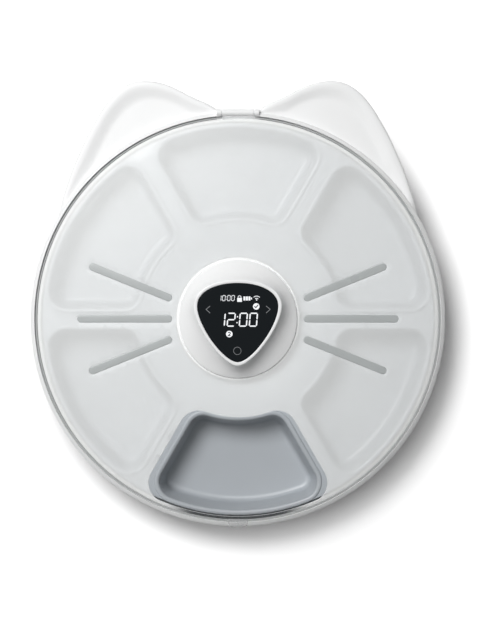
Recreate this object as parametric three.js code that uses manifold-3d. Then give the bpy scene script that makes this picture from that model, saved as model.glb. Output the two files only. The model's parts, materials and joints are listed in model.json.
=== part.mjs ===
// Round automatic pet feeder with two ears: a six-compartment tray turns inside the base,
// under a hinged lid with one window and round a fixed hub with a nose-shaped display.
// Millimetres, +Z up, ears towards +Y, window towards -Y. Everything is modelled about the
// tray's spin axis and then moved, so that the origin is the middle of the footprint.

import * as THREE from 'three';
import { mergeVertices } from 'three/addons/utils/BufferGeometryUtils.js';
import Module from 'manifold-3d';

// Fits and cuts
const seatGap = 0.3;
const runGap = 0.35;
const overrun = 6;

// Base shell, bottom cover and feet
const baseRadius = 165;
const shellWall = 2.2;
const footHeight = 2.8;
const footSink = 0.8;
const footRadius = 9;
const footInset = 19.5;
const coverThickness = 2;
const bayHeight = 4.6;
const wellFloorThickness = 2.4;
const rebateWidth = 4.6;
const undersideInset = 4.5;
const heelInset = 1.6;
const heelHeight = 3;
const flankInset = 0.3;
const edgeRound = 0.8;
const rimWidth = 2.9;
const earDrop = 4.5;
const earDish = 1.7;
const earBorder = 6;
const earDishSlope = 5;

// Outline of one ear, as shares of the base radius, in even steps from beside the hinge
const earStartAngle = 4;
const earStepAngle = 4;
const earReachShares = [
  1.0, 1.051, 1.103, 1.172, 1.227, 1.255, 1.248, 1.219, 1.181, 1.145, 1.11, 1.081, 1.052, 1.026, 1.003,
];

// Tray
const trayClearance = 1.2;
const trayWall = 1.8;
const pocketCount = 6;
const pocketDepth = 27;
const pocketStandOff = 9.5;
const trayRimWidth = 4.3;
const dividerHalf = 8.8;
const pocketInnerCorner = 12;
const pocketOuterCorner = 12;
const pocketDraft = 4;
const pocketFillet = 4;
const lipWidth = 4.2;
const lipHeight = 1.3;
const deckThickness = 2;
const trayHoleGap = 3;

// Cooling packs
const packHeight = 8.5;
const packClearance = 1.4;
const packInnerGap = 8;
const packOuterGap = 9.5;
const packSplit = 14;
const packBevel = 1.5;

// Lid
const lidClearance = 2.2;
const lidThickness = 2.4;
const lidEdgeGap = 2.6;
const lidProud = 0.4;
const lidRise = 5;
const lidHoleGap = 1;
const windowInnerGrow = 1.1;
const windowRim = 1.8;
const windowSide = 2.1;
const windowInnerCorner = 16;
const windowOuterCorner = 12.5;
const tabWidth = 15.6;
const tabReach = 1.2;
const tabThickness = 1.5;

// Whiskers, by their end centres, on the +X side: distances from the hub and from the lid's edge
const whiskerWidth = 6;
const whiskerDepth = 0.8;
const whiskerHubGap = 7.8;
const whiskerEdgeGap = 44.5;
const whiskerMiddleEdgeGap = 35;
const whiskerInnerY = 16.8;
const whiskerOuterY = 41;

// Rim seal
const sealFootWidth = 3.9;
const sealFootThickness = 1;
const sealWidth = 1.7;
const sealDrop = 1;

// Lid hinge
const hingeOffset = 1;
const hingeDrop = 1;
const hingePinRadius = 1.5;
const knuckleRadius = 2.8;
const knuckleLength = 24.8;
const lugWidth = 4;

// Column, hub and display
const columnWall = 2.5;
const columnFootFlange = 9.5;
const columnFootThickness = 2;
const neckDrop = 7;
const neckLength = 5.2;
const shoulderThickness = 2.4;
const shoulderLip = 2.3;
const shoulderLipWidth = 1.8;
const ledgeWidth = 8;
const ledgeThickness = 4;
const windowHalfWidth = 16.5;
const hubProud = 0.7;
const hubWall = 2.2;
const neckGap = 1.2;
const hubLift = 0.7;
const coneHeight = 11.2;
const coneStepShares = [[0.1, 0.1], [0.5, 0.3], [0.88, 0.8]];
const platformWidth = 2.2;
const noseSideInset = 15;
const noseTopInset = 19.2;
const noseBottomInset = 13.3;
const noseWidest = 10;
const noseTopShares = [0.56, 1, 0.63];
const noseSideShares = [1.55, 0.34];
const bezelWidth = 2.8;
const bezelRise = 4;
const bezelLedge = 2.5;
const bezelLedgeThickness = 2.1;
const bezelFlangeThickness = 1.8;
const lensThickness = 2.3;
const lensSink = 0.3;
const boardThickness = 1.6;

// Gears
const gearModule = 2;
const ringTipGap = 3.8;
const driveTeeth = 14;
const pinionTeeth = 10;
const pressureAngle = THREE.MathUtils.degToRad(25);
const toothAddendumShare = 0.8;
const toothDedendumShare = 1.15;
const toothThinning = 0.35;
const ringHeight = 10.7;
const ringRim = 3.7;
const gearLift = 0.5;
const gearFace = 8;
const gearBossHeight = 1.9;
const gearBossRadius = 5;
const axleRadius = 2;
const axleHeadRadius = 4;
const axleHeadThickness = 1.5;
const shaftRadius = 2;

// Gear deck, motor and boards
const gearDeckThickness = 2;
const postHeight = 13.4;
const postRadius = 2.5;
const mainBoardGap = 0.8;
const boardChipSize = 12;
const boardChipHeight = 1.4;
const motorRadius = 12;
const motorLength = 16;
const gearboxRadius = 13.5;
const gearboxLength = 9;
const displayModuleInset = 3;
const ribbonWidth = 12;
const ribbonThickness = 0.6;
const ribbonBow = 5;

// Backup battery
const cellRadius = 9.1;
const cellLength = 65;
const cellY = -14;
const holderWall = 1.5;
const holderRise = 11;
const holderGap = 1;

// Power socket and lead
const socketWidth = 9;
const socketHeight = 2.9;
const socketLength = 7.5;
const socketWall = 0.5;
const socketBoardWidth = 16;
const socketBoardLength = 14;
const socketBoardThickness = 0.8;
const leadRadius = 1.1;
const leadBoardGap = 4;
const leadY = 3;

// Home magnet and its sensor
const magnetRadius = 3;
const magnetHeight = 3;
const magnetStandOff = 5.6;
const magnetBossRadius = 4.5;
const sensorSize = 5;
const sensorHeight = 3;
const sensorArmHalf = 4;

// Screws
const screwRadius = 1.25;
const screwHeadRadius = 2.7;
const screwHeadHeight = 1.3;
const screwHole = 1.6;
const screwPilot = 1.4;
const bossRadius = 3.6;
const coverScrewInset = 16.5;
const columnScrewOffset = 4.5;
const columnScrewBoss = 7;
const hubScrewInset = 6;
const hubEarThickness = 3;
const hubEarHalf = 4.2;
const hubBossRadius = 3.2;
const deckScrewInset = 4.5;
const coverScrewCount = 6;
const columnScrewCount = 3;
const hubScrewCount = 3;
const footCount = 6;

// Where each ring of copies starts, in degrees from +X
const coverScrewTurn = 0;
const footTurn = 30;
const columnScrewTurn = 90;
const hubScrewTurn = 30;
const deckScrewTurns = [25, 155, 270];
const boardPostTurns = [30, 150, 210, 330];
const pocketTurn = 90;

// Heights above the floor, from the feet up
const undersideZ = footHeight - footSink;
const coverTopZ = undersideZ + coverThickness;
const wellUnderZ = coverTopZ + bayHeight;
const wellFloorZ = wellUnderZ + wellFloorThickness;
const packZ = wellFloorZ + seatGap;
const trayUnderZ = packZ + packHeight + packClearance;
const pocketFloorZ = trayUnderZ + trayWall;
const deckTopZ = pocketFloorZ + pocketDepth;
const deckUnderZ = deckTopZ - deckThickness;
const lidEdgeUnderZ = deckTopZ + lipHeight + lidClearance;
const lidEdgeTopZ = lidEdgeUnderZ + lidThickness;
const rimTopZ = lidEdgeTopZ - lidProud;
const earTopZ = rimTopZ - earDrop;
const sealFootTopZ = lidEdgeUnderZ - seatGap;
const sealFootUnderZ = sealFootTopZ - sealFootThickness;
const rebateZ = sealFootUnderZ - seatGap;
const hingeZ = rimTopZ - hingeDrop;
const hingeY = baseRadius - hingeOffset;
const coneBaseZ = lidEdgeTopZ + lidRise + hubLift;
const platformZ = coneBaseZ + coneHeight;
const bezelTopZ = platformZ + bezelRise;
const lensTopZ = bezelTopZ - lensSink;
const lensUnderZ = lensTopZ - lensThickness;
const bezelLedgeTopZ = lensUnderZ - seatGap;
const bezelLedgeUnderZ = bezelLedgeTopZ - bezelLedgeThickness;
const ringUnderZ = deckUnderZ - seatGap - ringHeight;
const shoulderTopZ = ringUnderZ - seatGap;
const gearUnderZ = ringUnderZ + gearLift;
const gearTopZ = gearUnderZ + gearFace;
const gearDeckTopZ = gearUnderZ - gearBossHeight - seatGap;
const gearDeckUnderZ = gearDeckTopZ - gearDeckThickness;
const ledgeTopZ = gearDeckUnderZ - seatGap;
const mainBoardUnderZ = gearDeckTopZ + postHeight + seatGap;
const hubEarTopZ = mainBoardUnderZ;
const neckZ = coneBaseZ - neckDrop;
const addendum = gearModule * toothAddendumShare;
const dedendum = gearModule * toothDedendumShare;

// Radii of the middle, from the cell in the column's foot outwards
const holderHalfLength = cellLength / 2 + seatGap + holderWall;
const holderHalfWidth = cellRadius + seatGap + holderWall;
const holderReach = Math.hypot(holderHalfLength, Math.abs(cellY) + holderHalfWidth);
const floorHoleRadius = holderReach + holderGap;
const columnBore = floorHoleRadius + 2 * seatGap;
const columnRadius = columnBore + columnWall;
const columnFootRadius = columnRadius + columnFootFlange;
const columnScrewRing = columnRadius + columnScrewOffset;
const hubScrewRing = columnBore - hubScrewInset;
const deckScrewRing = columnBore - deckScrewInset;
const mainBoardRadius = hubScrewRing - hubEarHalf - mainBoardGap;
const leadX = mainBoardRadius + leadBoardGap;
const hubRadius = columnRadius + hubProud;
const noseHalfWidth = hubRadius - noseSideInset;
const noseTop = hubRadius - noseTopInset;
const noseBottom = hubRadius - noseBottomInset;
const ringTeeth = Math.ceil(2 * (columnRadius + ringTipGap + addendum) / gearModule);
const ringPitchRadius = gearModule * ringTeeth / 2;
const drivePitchRadius = gearModule * driveTeeth / 2;
const pinionPitchRadius = gearModule * pinionTeeth / 2;
const driveY = ringPitchRadius - drivePitchRadius;
const pinionY = driveY - drivePitchRadius - pinionPitchRadius;
const ringRadius = ringPitchRadius + dedendum + ringRim;
const shoulderRadius = ringRadius + 2 * seatGap + shoulderLipWidth;
const magnetRing = shoulderRadius + magnetStandOff;
const pocketInner = magnetRing + magnetBossRadius + pocketStandOff;
const windowInner = pocketInner - windowInnerGrow;
const trayHoleRadius = columnRadius + trayHoleGap;
const lidHoleRadius = hubRadius + lidHoleGap;
const packInner = columnFootRadius + packInnerGap;

// Radii of the outer parts, from the rim inwards
const rimInnerRadius = baseRadius - rimWidth;
const wellRadius = rimInnerRadius - rebateWidth;
const lidRadius = rimInnerRadius - lidEdgeGap;
const trayRadius = wellRadius - trayClearance;
const pocketOuter = trayRadius - trayRimWidth;
const windowOuter = lidRadius - windowRim;
const packOuter = wellRadius - packOuterGap;
const coverScrewRing = wellRadius - coverScrewInset;
const footRing = wellRadius - footInset;
const whiskerInnerX = hubRadius + whiskerHubGap;
const whiskerOuterX = lidRadius - whiskerEdgeGap;
const whiskerMiddleOuterX = lidRadius - whiskerMiddleEdgeGap;

// The power socket and the lid's hinge
const socketBoardZ = coverTopZ + seatGap;
const socketZ = socketBoardZ + socketBoardThickness + seatGap;
const lugX = knuckleLength / 2 + 2 * seatGap;
const lugEndX = lugX + lugWidth;

// How finely round things are divided
const outlineSides = 60;
const latheSides = 36;
const pinSides = 8;
const footSides = 12;
const noseSides = 8;
const bigArcSides = 6;
const cornerSides = 3;
const shapeArcSides = 6;
const leadArcSides = 4;
const leadSteps = 24;
const ribbonArcSides = 8;
const lidSteps = 3;
const wheelFlankSteps = 2;
const ringFlankSteps = 1;
const mergeDistance = 1e-4;
const samePointDistance = 1e-6;
const rightAngle = Math.PI / 2;
const dividerAngle = Math.PI / pocketCount;

const wasm = await Module();
wasm.setup();

// Solids and meshes

function solid(geometry) {
  const bare = geometry.clone();
  bare.deleteAttribute('normal');
  bare.deleteAttribute('uv');
  const merged = mergeVertices(bare, mergeDistance);
  const corners = [];
  const source = merged.index.array;
  for (let i = 0; i < source.length; i += 3) {
    const [a, b, c] = [source[i], source[i + 1], source[i + 2]];
    if (a !== b && b !== c && c !== a) corners.push(a, b, c);
  }
  const vertProperties = new Float32Array(merged.attributes.position.array);
  const closed = (triVerts) =>
    new wasm.Manifold(new wasm.Mesh({ numProp: 3, vertProperties, triVerts }));
  const body = closed(new Uint32Array(corners));
  return body.volume() > 0 ? body : closed(new Uint32Array(corners.reverse()));
}

function surface(body) {
  const mesh = body.getMesh();
  const geometry = new THREE.BufferGeometry();
  geometry.setAttribute('position', new THREE.BufferAttribute(mesh.vertProperties, mesh.numProp));
  geometry.setIndex(new THREE.BufferAttribute(mesh.triVerts, 1));
  return geometry;
}

const union = (bodies) => bodies.reduce((all, next) => all.add(next));

// Body of revolution about +Z through [radius, height] corners
function turned(profile, sides = latheSides) {
  const points = profile.map(([radius, height]) => new THREE.Vector2(radius, height));
  const closed = profile[0][0] === 0 ? points : [...points, points[0]];
  return solid(new THREE.LatheGeometry(closed, sides).rotateX(rightAngle));
}

const tube = (inner, outer, low, high, sides) =>
  turned([[inner, low], [outer, low], [outer, high], [inner, high]], sides);

const disc = (radius, low, high, sides) =>
  turned([[0, low], [radius, low], [radius, high], [0, high]], sides);

const post = (radius, low, high, x, y, sides = pinSides) =>
  disc(radius, low, high, sides).translate([x, y, 0]);

function box(xLow, xHigh, yLow, yHigh, zLow, zHigh) {
  const geometry = new THREE.BoxGeometry(xHigh - xLow, yHigh - yLow, zHigh - zLow);
  return solid(geometry.translate((xLow + xHigh) / 2, (yLow + yHigh) / 2, (zLow + zHigh) / 2));
}

function prism(shape, low, high, curveSegments = shapeArcSides) {
  const options = { depth: high - low, bevelEnabled: false, curveSegments };
  return solid(new THREE.ExtrudeGeometry(shape, options).translate(0, 0, low));
}

// Closed solid through rings of equally many points, capped at both ends
function loft(rings) {
  const count = rings[0].length;
  const index = [];
  for (let level = 0; level < rings.length - 1; level += 1) {
    for (let i = 0; i < count; i += 1) {
      const a = level * count + i;
      const b = level * count + ((i + 1) % count);
      index.push(a, b, b + count, a, b + count, a + count);
    }
  }
  for (const level of [0, rings.length - 1]) {
    const flat = rings[level].map((point) => new THREE.Vector2(point.x, point.y));
    for (const [a, b, c] of THREE.ShapeUtils.triangulateShape(flat, [])) {
      const face = level === 0 ? [c, b, a] : [a, b, c];
      index.push(...face.map((corner) => corner + level * count));
    }
  }
  const geometry = new THREE.BufferGeometry().setFromPoints(rings.flat());
  geometry.setIndex(index);
  return solid(geometry);
}

const polar = (radius, angle) => [radius * Math.cos(angle), radius * Math.sin(angle)];

// Outline of the base with its ears

// Smooth curve through evenly spaced values
function smoothValue(values, place) {
  const step = Math.min(Math.floor(place), values.length - 2);
  const at = (i) => values[Math.min(Math.max(i, 0), values.length - 1)];
  const [before, start, end, after] = [at(step - 1), at(step), at(step + 1), at(step + 2)];
  const t = place - step;
  const bend = 2 * before - 5 * start + 4 * end - after;
  const twist = 3 * (start - end) + after - before;
  return start + 0.5 * t * (end - before + t * (bend + t * twist));
}

function outlineRadius(angle) {
  const turn = THREE.MathUtils.euclideanModulo(angle + rightAngle, 2 * Math.PI);
  const fromRear = Math.abs(turn - Math.PI);
  const place = (THREE.MathUtils.radToDeg(fromRear) - earStartAngle) / earStepAngle;
  if (place < 0 || place > earReachShares.length - 1) return baseRadius;
  return baseRadius * Math.max(1, smoothValue(earReachShares, place));
}

// Angles of the outline's corners: fine steps on the ears, the sides of a circle elsewhere
const earEndAngle = earStartAngle + earStepAngle * (earReachShares.length - 1);
const sideAngle = 360 / outlineSides;
const outlineAngles = [];
for (let turn = -earEndAngle; turn <= earEndAngle; turn += earStepAngle) {
  outlineAngles.push(90 + turn);
}
for (let turn = earEndAngle + sideAngle; turn < 360 - earEndAngle; turn += sideAngle) {
  outlineAngles.push(90 + turn);
}

function outlineRing(inset, height) {
  return outlineAngles.map((degrees) => {
    const angle = THREE.MathUtils.degToRad(degrees);
    return new THREE.Vector3(...polar(outlineRadius(angle) - inset, angle), height);
  });
}

function circleRing(radius, height) {
  return Array.from({ length: outlineSides }, (_, i) => {
    const angle = THREE.MathUtils.degToRad(i * sideAngle);
    return new THREE.Vector3(...polar(radius, angle), height);
  });
}

// Outline of a compartment's mouth or of the lid's window, pointing along +X

// Points along an arc, with both its ends
function arcPoints(x, y, radius, start, end, sides) {
  return Array.from({ length: sides + 1 }, (_, i) => {
    const [across, up] = polar(radius, start + ((end - start) * i) / sides);
    return new THREE.Vector2(x + across, y + up);
  });
}

function compartmentPoints({ inner, outer, side, innerCorner, outerCorner }, shrink = 0) {
  const near = inner + shrink;
  const far = outer - shrink;
  const flank = side + shrink;
  const innerRound = innerCorner - shrink;
  const outerRound = outerCorner - shrink;
  // A corner's centre, seen from the divider's centre line, and turned to the upper divider
  const centre = (reach, round) => {
    const across = flank + round;
    const along = Math.sqrt(reach * reach - across * across);
    return [reach, dividerAngle - Math.atan2(across, along)];
  };
  const [outerReach, outerAngle] = centre(far - outerRound, outerRound);
  const [innerReach, innerAngle] = centre(near + innerRound, innerRound);
  const [outerX, outerY] = polar(outerReach, outerAngle);
  const [innerX, innerY] = polar(innerReach, innerAngle);
  const wall = dividerAngle + rightAngle;
  return [
    ...arcPoints(0, 0, far, -outerAngle, outerAngle, bigArcSides),
    ...arcPoints(outerX, outerY, outerRound, outerAngle, wall, cornerSides),
    ...arcPoints(innerX, innerY, innerRound, wall, innerAngle + Math.PI, cornerSides),
    ...arcPoints(0, 0, near, innerAngle, -innerAngle, bigArcSides),
    ...arcPoints(innerX, -innerY, innerRound, Math.PI - innerAngle, 2 * Math.PI - wall, cornerSides),
    ...arcPoints(outerX, -outerY, outerRound, -wall, -outerAngle, cornerSides),
  ];
}

const pocketMouth = {
  inner: pocketInner,
  outer: pocketOuter,
  side: dividerHalf,
  innerCorner: pocketInnerCorner,
  outerCorner: pocketOuterCorner,
};
const lidWindow = {
  inner: windowInner,
  outer: windowOuter,
  side: windowSide,
  innerCorner: windowInnerCorner,
  outerCorner: windowOuterCorner,
};

function compartmentRing(outline, shrink, height) {
  const points = compartmentPoints(outline, shrink);
  const distinct = points.filter((point, i) => point.distanceTo(points.at(i - 1)) > samePointDistance);
  return distinct.map((point) => new THREE.Vector3(point.x, point.y, height));
}

// Outline of the display, its point towards -Y, grown outwards all round

function noseShape(grow = 0) {
  const wide = noseHalfWidth + grow;
  const top = noseTop + grow;
  const bottom = noseBottom + grow;
  const [topX, topY, sideY] = noseTopShares;
  const [dropShare, footShare] = noseSideShares;
  const shoulder = noseWidest + sideY * (top - noseWidest);
  const drop = noseWidest - dropShare * noseWidest;
  const shape = new THREE.Shape();
  shape.moveTo(0, top);
  shape.bezierCurveTo(-topX * wide, topY * top, -wide, shoulder, -wide, noseWidest);
  shape.bezierCurveTo(-wide, drop, -footShare * wide, -bottom, 0, -bottom);
  shape.bezierCurveTo(footShare * wide, -bottom, wide, drop, wide, noseWidest);
  shape.bezierCurveTo(wide, shoulder, topX * wide, topY * top, 0, top);
  return shape;
}

// Ring between a circle (share 0) and the display's grown outline (share 1)
function hubRing(radius, grow, share, height) {
  const nose = noseShape(grow).getPoints(noseSides).slice(0, -1);
  return nose.map((point) => {
    const round = point.clone().setLength(radius);
    const mixed = round.lerp(point, share);
    return new THREE.Vector3(mixed.x, mixed.y, height);
  });
}

// Spur gear outline with involute flanks and its first tooth along +X

function gearShape(teeth, thinning, tipHeight, rootDepth, flankSteps) {
  const pitch = gearModule * teeth / 2;
  const base = pitch * Math.cos(pressureAngle);
  const involute = (radius) => {
    const roll = Math.sqrt(Math.max((radius / base) ** 2 - 1, 0));
    return roll - Math.atan(roll);
  };
  const halfAtPitch = Math.PI / (2 * teeth) - thinning / (2 * pitch);
  const flank = [];
  for (let i = 0; i <= flankSteps; i += 1) {
    const radius = pitch - rootDepth + ((rootDepth + tipHeight) * i) / flankSteps;
    flank.push([radius, halfAtPitch + involute(pitch) - involute(radius)]);
  }
  const points = [];
  for (let tooth = 0; tooth < teeth; tooth += 1) {
    const middle = (tooth / teeth) * 2 * Math.PI;
    for (const [radius, half] of flank) {
      points.push(new THREE.Vector2(...polar(radius, middle - half)));
    }
    for (const [radius, half] of [...flank].reverse()) {
      points.push(new THREE.Vector2(...polar(radius, middle + half)));
    }
  }
  return new THREE.Shape(points);
}

// Screw with its head below, shank up
function screw(headZ, length, x, y) {
  const shank = post(screwRadius, headZ, headZ + screwHeadHeight + length, x, y);
  return shank.add(post(screwHeadRadius, headZ, headZ + screwHeadHeight, x, y));
}

const placeAt = (radius, degrees) => polar(radius, THREE.MathUtils.degToRad(degrees));

const ringPlaces = (count, radius, first) =>
  Array.from({ length: count }, (_, i) => placeAt(radius, first + (360 / count) * i));

// Materials, one for each kind of piece

const paint = (color, roughness, metalness = 0, opacity = 1) =>
  new THREE.MeshStandardMaterial({ color, roughness, metalness, opacity, transparent: opacity < 1 });
const white = () => paint(0xf2f3f3, 0.35);
const trayGrey = () => paint(0xaab0b5, 0.4);
const clearLid = () => paint(0xe6e9e8, 0.25, 0, 0.55);
const whiskerGrey = () => paint(0x9fa5a4, 0.35);
const rubber = () => paint(0x7d8286, 0.8);
const darkRubber = () => paint(0x3a3c3f, 0.85);
const blackGlass = () => paint(0x14171a, 0.08);
const board = () => paint(0x1f5a3c, 0.55);
const steel = () => paint(0xb4b7ba, 0.3, 1);
const acetal = () => paint(0xe8e4d8, 0.45);
const deckBlack = () => paint(0x2b2d30, 0.6);
const cellBlue = () => paint(0x2c62a8, 0.4);
const packBlue = () => paint(0x7fb6d9, 0.3);
const leadBlack = () => paint(0x1c1c1e, 0.6);

const feeder = new THREE.Group();

function add(name, body, material) {
  const mesh = new THREE.Mesh(surface(body), material);
  mesh.name = name;
  feeder.add(mesh);
}

// Places of the screws and feet

const coverScrewPlaces = ringPlaces(coverScrewCount, coverScrewRing, coverScrewTurn);
const footPlaces = ringPlaces(footCount, footRing, footTurn);
const columnScrewPlaces = ringPlaces(columnScrewCount, columnScrewRing, columnScrewTurn);
const hubScrewPlaces = ringPlaces(hubScrewCount, hubScrewRing, hubScrewTurn);
const deckScrewPlaces = deckScrewTurns.map((turn) => placeAt(deckScrewRing, turn));

// Base shell: outer skin with ears, well for the tray, and a bay underneath

const cavityInset = undersideInset + shellWall;
const flankMiddleZ = (undersideZ + earTopZ) / 2;

// Round bar along the hinge axis
function acrossPin(radius, length) {
  const bar = disc(radius, -length / 2, length / 2, pinSides);
  return bar.rotate([0, 90, 0]).translate([0, hingeY, hingeZ]);
}

// Lug beside the lid's knuckle, on one side of the middle
function hingeLug(side) {
  const [low, high] = side > 0 ? [lugX, lugEndX] : [-lugEndX, -lugX];
  const round = acrossPin(knuckleRadius, lugWidth).translate([(low + high) / 2, 0, 0]);
  const [yLow, yHigh] = [hingeY - knuckleRadius, hingeY + knuckleRadius];
  return round.add(box(low, high, yLow, yHigh, rebateZ - earDrop, hingeZ));
}

// Bay under the well, round the screws' bosses
function baseCavity() {
  const hollow = loft([
    outlineRing(cavityInset, undersideZ - overrun),
    outlineRing(cavityInset, wellUnderZ),
    outlineRing(flankInset + shellWall, flankMiddleZ),
    outlineRing(shellWall, earTopZ - earDish - shellWall),
  ]);
  const wellRing = (height) => circleRing(wellRadius + shellWall, height);
  const bosses = [...coverScrewPlaces, ...columnScrewPlaces].map(([x, y]) =>
    post(bossRadius, coverTopZ + seatGap, wellFloorZ, x, y));
  return hollow.subtract(loft([wellRing(wellUnderZ), wellRing(rimTopZ)])).subtract(union(bosses));
}

function baseShell() {
  const outer = loft([
    outlineRing(undersideInset, undersideZ),
    outlineRing(heelInset, undersideZ + heelHeight),
    outlineRing(flankInset, flankMiddleZ),
    outlineRing(0, earTopZ - edgeRound),
    outlineRing(edgeRound, earTopZ),
  ]);
  const rimFoot = earTopZ - earDrop;
  const rimRadius = baseRadius - edgeRound / 2;
  const rim = loft([
    circleRing(rimRadius, rimFoot),
    circleRing(rimRadius, rimTopZ - edgeRound),
    circleRing(rimRadius - edgeRound, rimTopZ),
  ]);
  const room = (radius, low) => loft([circleRing(radius, low), circleRing(radius, rimTopZ + overrun)]);
  const well = room(wellRadius, wellFloorZ);
  const rebate = room(rimInnerRadius, rebateZ);
  const dish = loft([
    outlineRing(earBorder + earDishSlope, earTopZ - earDish),
    outlineRing(earBorder, earTopZ + edgeRound),
  ]).subtract(disc(baseRadius + seatGap, 0, rimTopZ, outlineSides));
  const notch = box(
    -lugX, lugX, wellRadius - overrun, hingeY + knuckleRadius + overrun,
    hingeZ - knuckleRadius - 2 * runGap, rimTopZ + overrun,
  );
  const socketMouth = box(
    -socketWidth / 2 - seatGap, socketWidth / 2 + seatGap, wellRadius, baseRadius + overrun,
    socketZ - seatGap, socketZ + socketHeight + seatGap,
  );
  let body = outer.add(rim).subtract(well).subtract(rebate).subtract(dish).subtract(baseCavity());
  body = body.subtract(notch).add(hingeLug(-1)).add(hingeLug(1));
  body = body.subtract(acrossPin(hingePinRadius + runGap, 2 * (lugEndX + seatGap)));
  body = body.subtract(disc(floorHoleRadius, 0, rimTopZ)).subtract(socketMouth);
  for (const [x, y] of coverScrewPlaces) {
    body = body.subtract(post(screwPilot, coverTopZ - overrun, wellFloorZ - shellWall / 2, x, y));
  }
  for (const [x, y] of columnScrewPlaces) {
    body = body.subtract(post(screwHole, coverTopZ - overrun, wellFloorZ + overrun, x, y));
  }
  return body;
}

add('base_shell', baseShell(), white());

// Bottom cover, feet and screws from below

function bottomCover() {
  const inset = cavityInset + seatGap;
  const footRoomZ = footHeight + seatGap;
  const headRoomZ = undersideZ + seatGap + screwHeadHeight + seatGap / 2;
  let body = loft([outlineRing(inset, undersideZ), outlineRing(inset, coverTopZ)]);
  for (const [x, y] of footPlaces) {
    body = body.subtract(post(footRadius + seatGap, 0, footRoomZ, x, y, footSides));
  }
  for (const [x, y] of [...coverScrewPlaces, ...columnScrewPlaces]) {
    body = body.subtract(post(screwHole, 0, coverTopZ + overrun, x, y));
    body = body.subtract(post(screwHeadRadius + seatGap, 0, headRoomZ, x, y));
  }
  return body;
}

add('bottom_cover', bottomCover(), white());

const foot = turned([
  [0, 0], [footRadius - footSink, 0], [footRadius, footSink], [footRadius, footHeight], [0, footHeight],
], footSides);
footPlaces.forEach(([x, y], i) => add(`foot_${i + 1}`, foot.translate([x, y, 0]), darkRubber()));

coverScrewPlaces.forEach(([x, y], i) => {
  add(`cover_screw_${i + 1}`, screw(undersideZ + seatGap, bayHeight, x, y), steel());
});

const columnScrewReach = wellFloorZ + columnScrewBoss - coverTopZ - 4 * seatGap;
columnScrewPlaces.forEach(([x, y], i) => {
  add(`column_screw_${i + 1}`, screw(undersideZ + seatGap, columnScrewReach, x, y), steel());
});

// Column: carries the hub, turns the tray on its shoulder and holds the drive

const columnFootZ = wellFloorZ + seatGap;
const columnBossTopZ = wellFloorZ + columnScrewBoss + seatGap;
const ledgeUnderZ = ledgeTopZ - ledgeThickness;
const neckTopZ = neckZ + neckLength;
const neckRadius = hubRadius - hubWall - neckGap;

function columnOutside() {
  const footTopZ = columnFootZ + columnFootThickness;
  const lipInner = shoulderRadius - shoulderLipWidth;
  return turned([
    [0, columnFootZ], [columnFootRadius, columnFootZ], [columnFootRadius, footTopZ],
    [columnRadius, footTopZ], [columnRadius, shoulderTopZ - 2 * shoulderThickness],
    [shoulderRadius, shoulderTopZ - shoulderThickness], [shoulderRadius, shoulderTopZ + shoulderLip],
    [lipInner, shoulderTopZ + shoulderLip], [lipInner, shoulderTopZ], [columnRadius, shoulderTopZ],
    [columnRadius, neckZ], [neckRadius, neckZ], [neckRadius, neckTopZ], [0, neckTopZ],
  ]);
}

function columnInside() {
  const ledgeBore = columnBore - ledgeWidth;
  const neckBore = neckRadius - columnWall;
  return turned([
    [0, 0], [columnBore, 0], [columnBore, ledgeUnderZ - ledgeWidth / 2],
    [ledgeBore, ledgeUnderZ], [ledgeBore, ledgeTopZ], [columnBore, ledgeTopZ],
    [columnBore, neckZ - columnWall], [neckBore, neckZ], [neckBore, neckTopZ + overrun],
    [0, neckTopZ + overrun],
  ]);
}

// Ears inside the neck that the hub's screws pass through
function hubEar([x, y]) {
  const earUnderZ = hubEarTopZ - hubEarThickness;
  const reach = columnBore + columnWall / 2;
  const ear = box(hubScrewRing - hubEarHalf, reach, -hubEarHalf, hubEarHalf, earUnderZ, hubEarTopZ);
  return ear.rotate([0, 0, THREE.MathUtils.radToDeg(Math.atan2(y, x))]);
}

function columnHousing() {
  const sensorArm = box(
    -sensorArmHalf, sensorArmHalf, -magnetRing - sensorArmHalf, -shoulderRadius + shoulderLipWidth / 2,
    shoulderTopZ - shoulderThickness, shoulderTopZ,
  );
  const gearWindow = box(
    -windowHalfWidth, windowHalfWidth, driveY, columnRadius + overrun / 2,
    shoulderTopZ + seatGap, gearTopZ + 2 * gearLift,
  ).intersect(disc(ringRadius, 0, rimTopZ));
  const bosses = columnScrewPlaces.map(([x, y]) => post(bossRadius, columnFootZ, columnBossTopZ, x, y));
  let body = columnOutside().subtract(columnInside()).add(union(bosses));
  body = body.add(union(hubScrewPlaces.map(hubEar))).add(sensorArm).subtract(gearWindow);
  for (const [x, y] of columnScrewPlaces) {
    body = body.subtract(post(screwPilot, 0, columnBossTopZ - 3 * seatGap, x, y));
  }
  for (const [x, y] of hubScrewPlaces) {
    body = body.subtract(post(screwHole, ledgeTopZ, hubEarTopZ + overrun, x, y));
  }
  for (const [x, y] of deckScrewPlaces) {
    body = body.subtract(post(screwPilot, columnBossTopZ, ledgeTopZ + seatGap, x, y));
  }
  const axleRoom = post(axleHeadRadius + seatGap, columnBossTopZ, ledgeTopZ + seatGap, 0, driveY);
  const leadRoom = post(2 * leadRadius, wellFloorZ, ledgeTopZ + seatGap, leadX, leadY);
  return body.subtract(axleRoom).subtract(leadRoom);
}

add('column_housing', columnHousing(), white());

// Gear deck with the posts of the main board, and the drive

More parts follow.
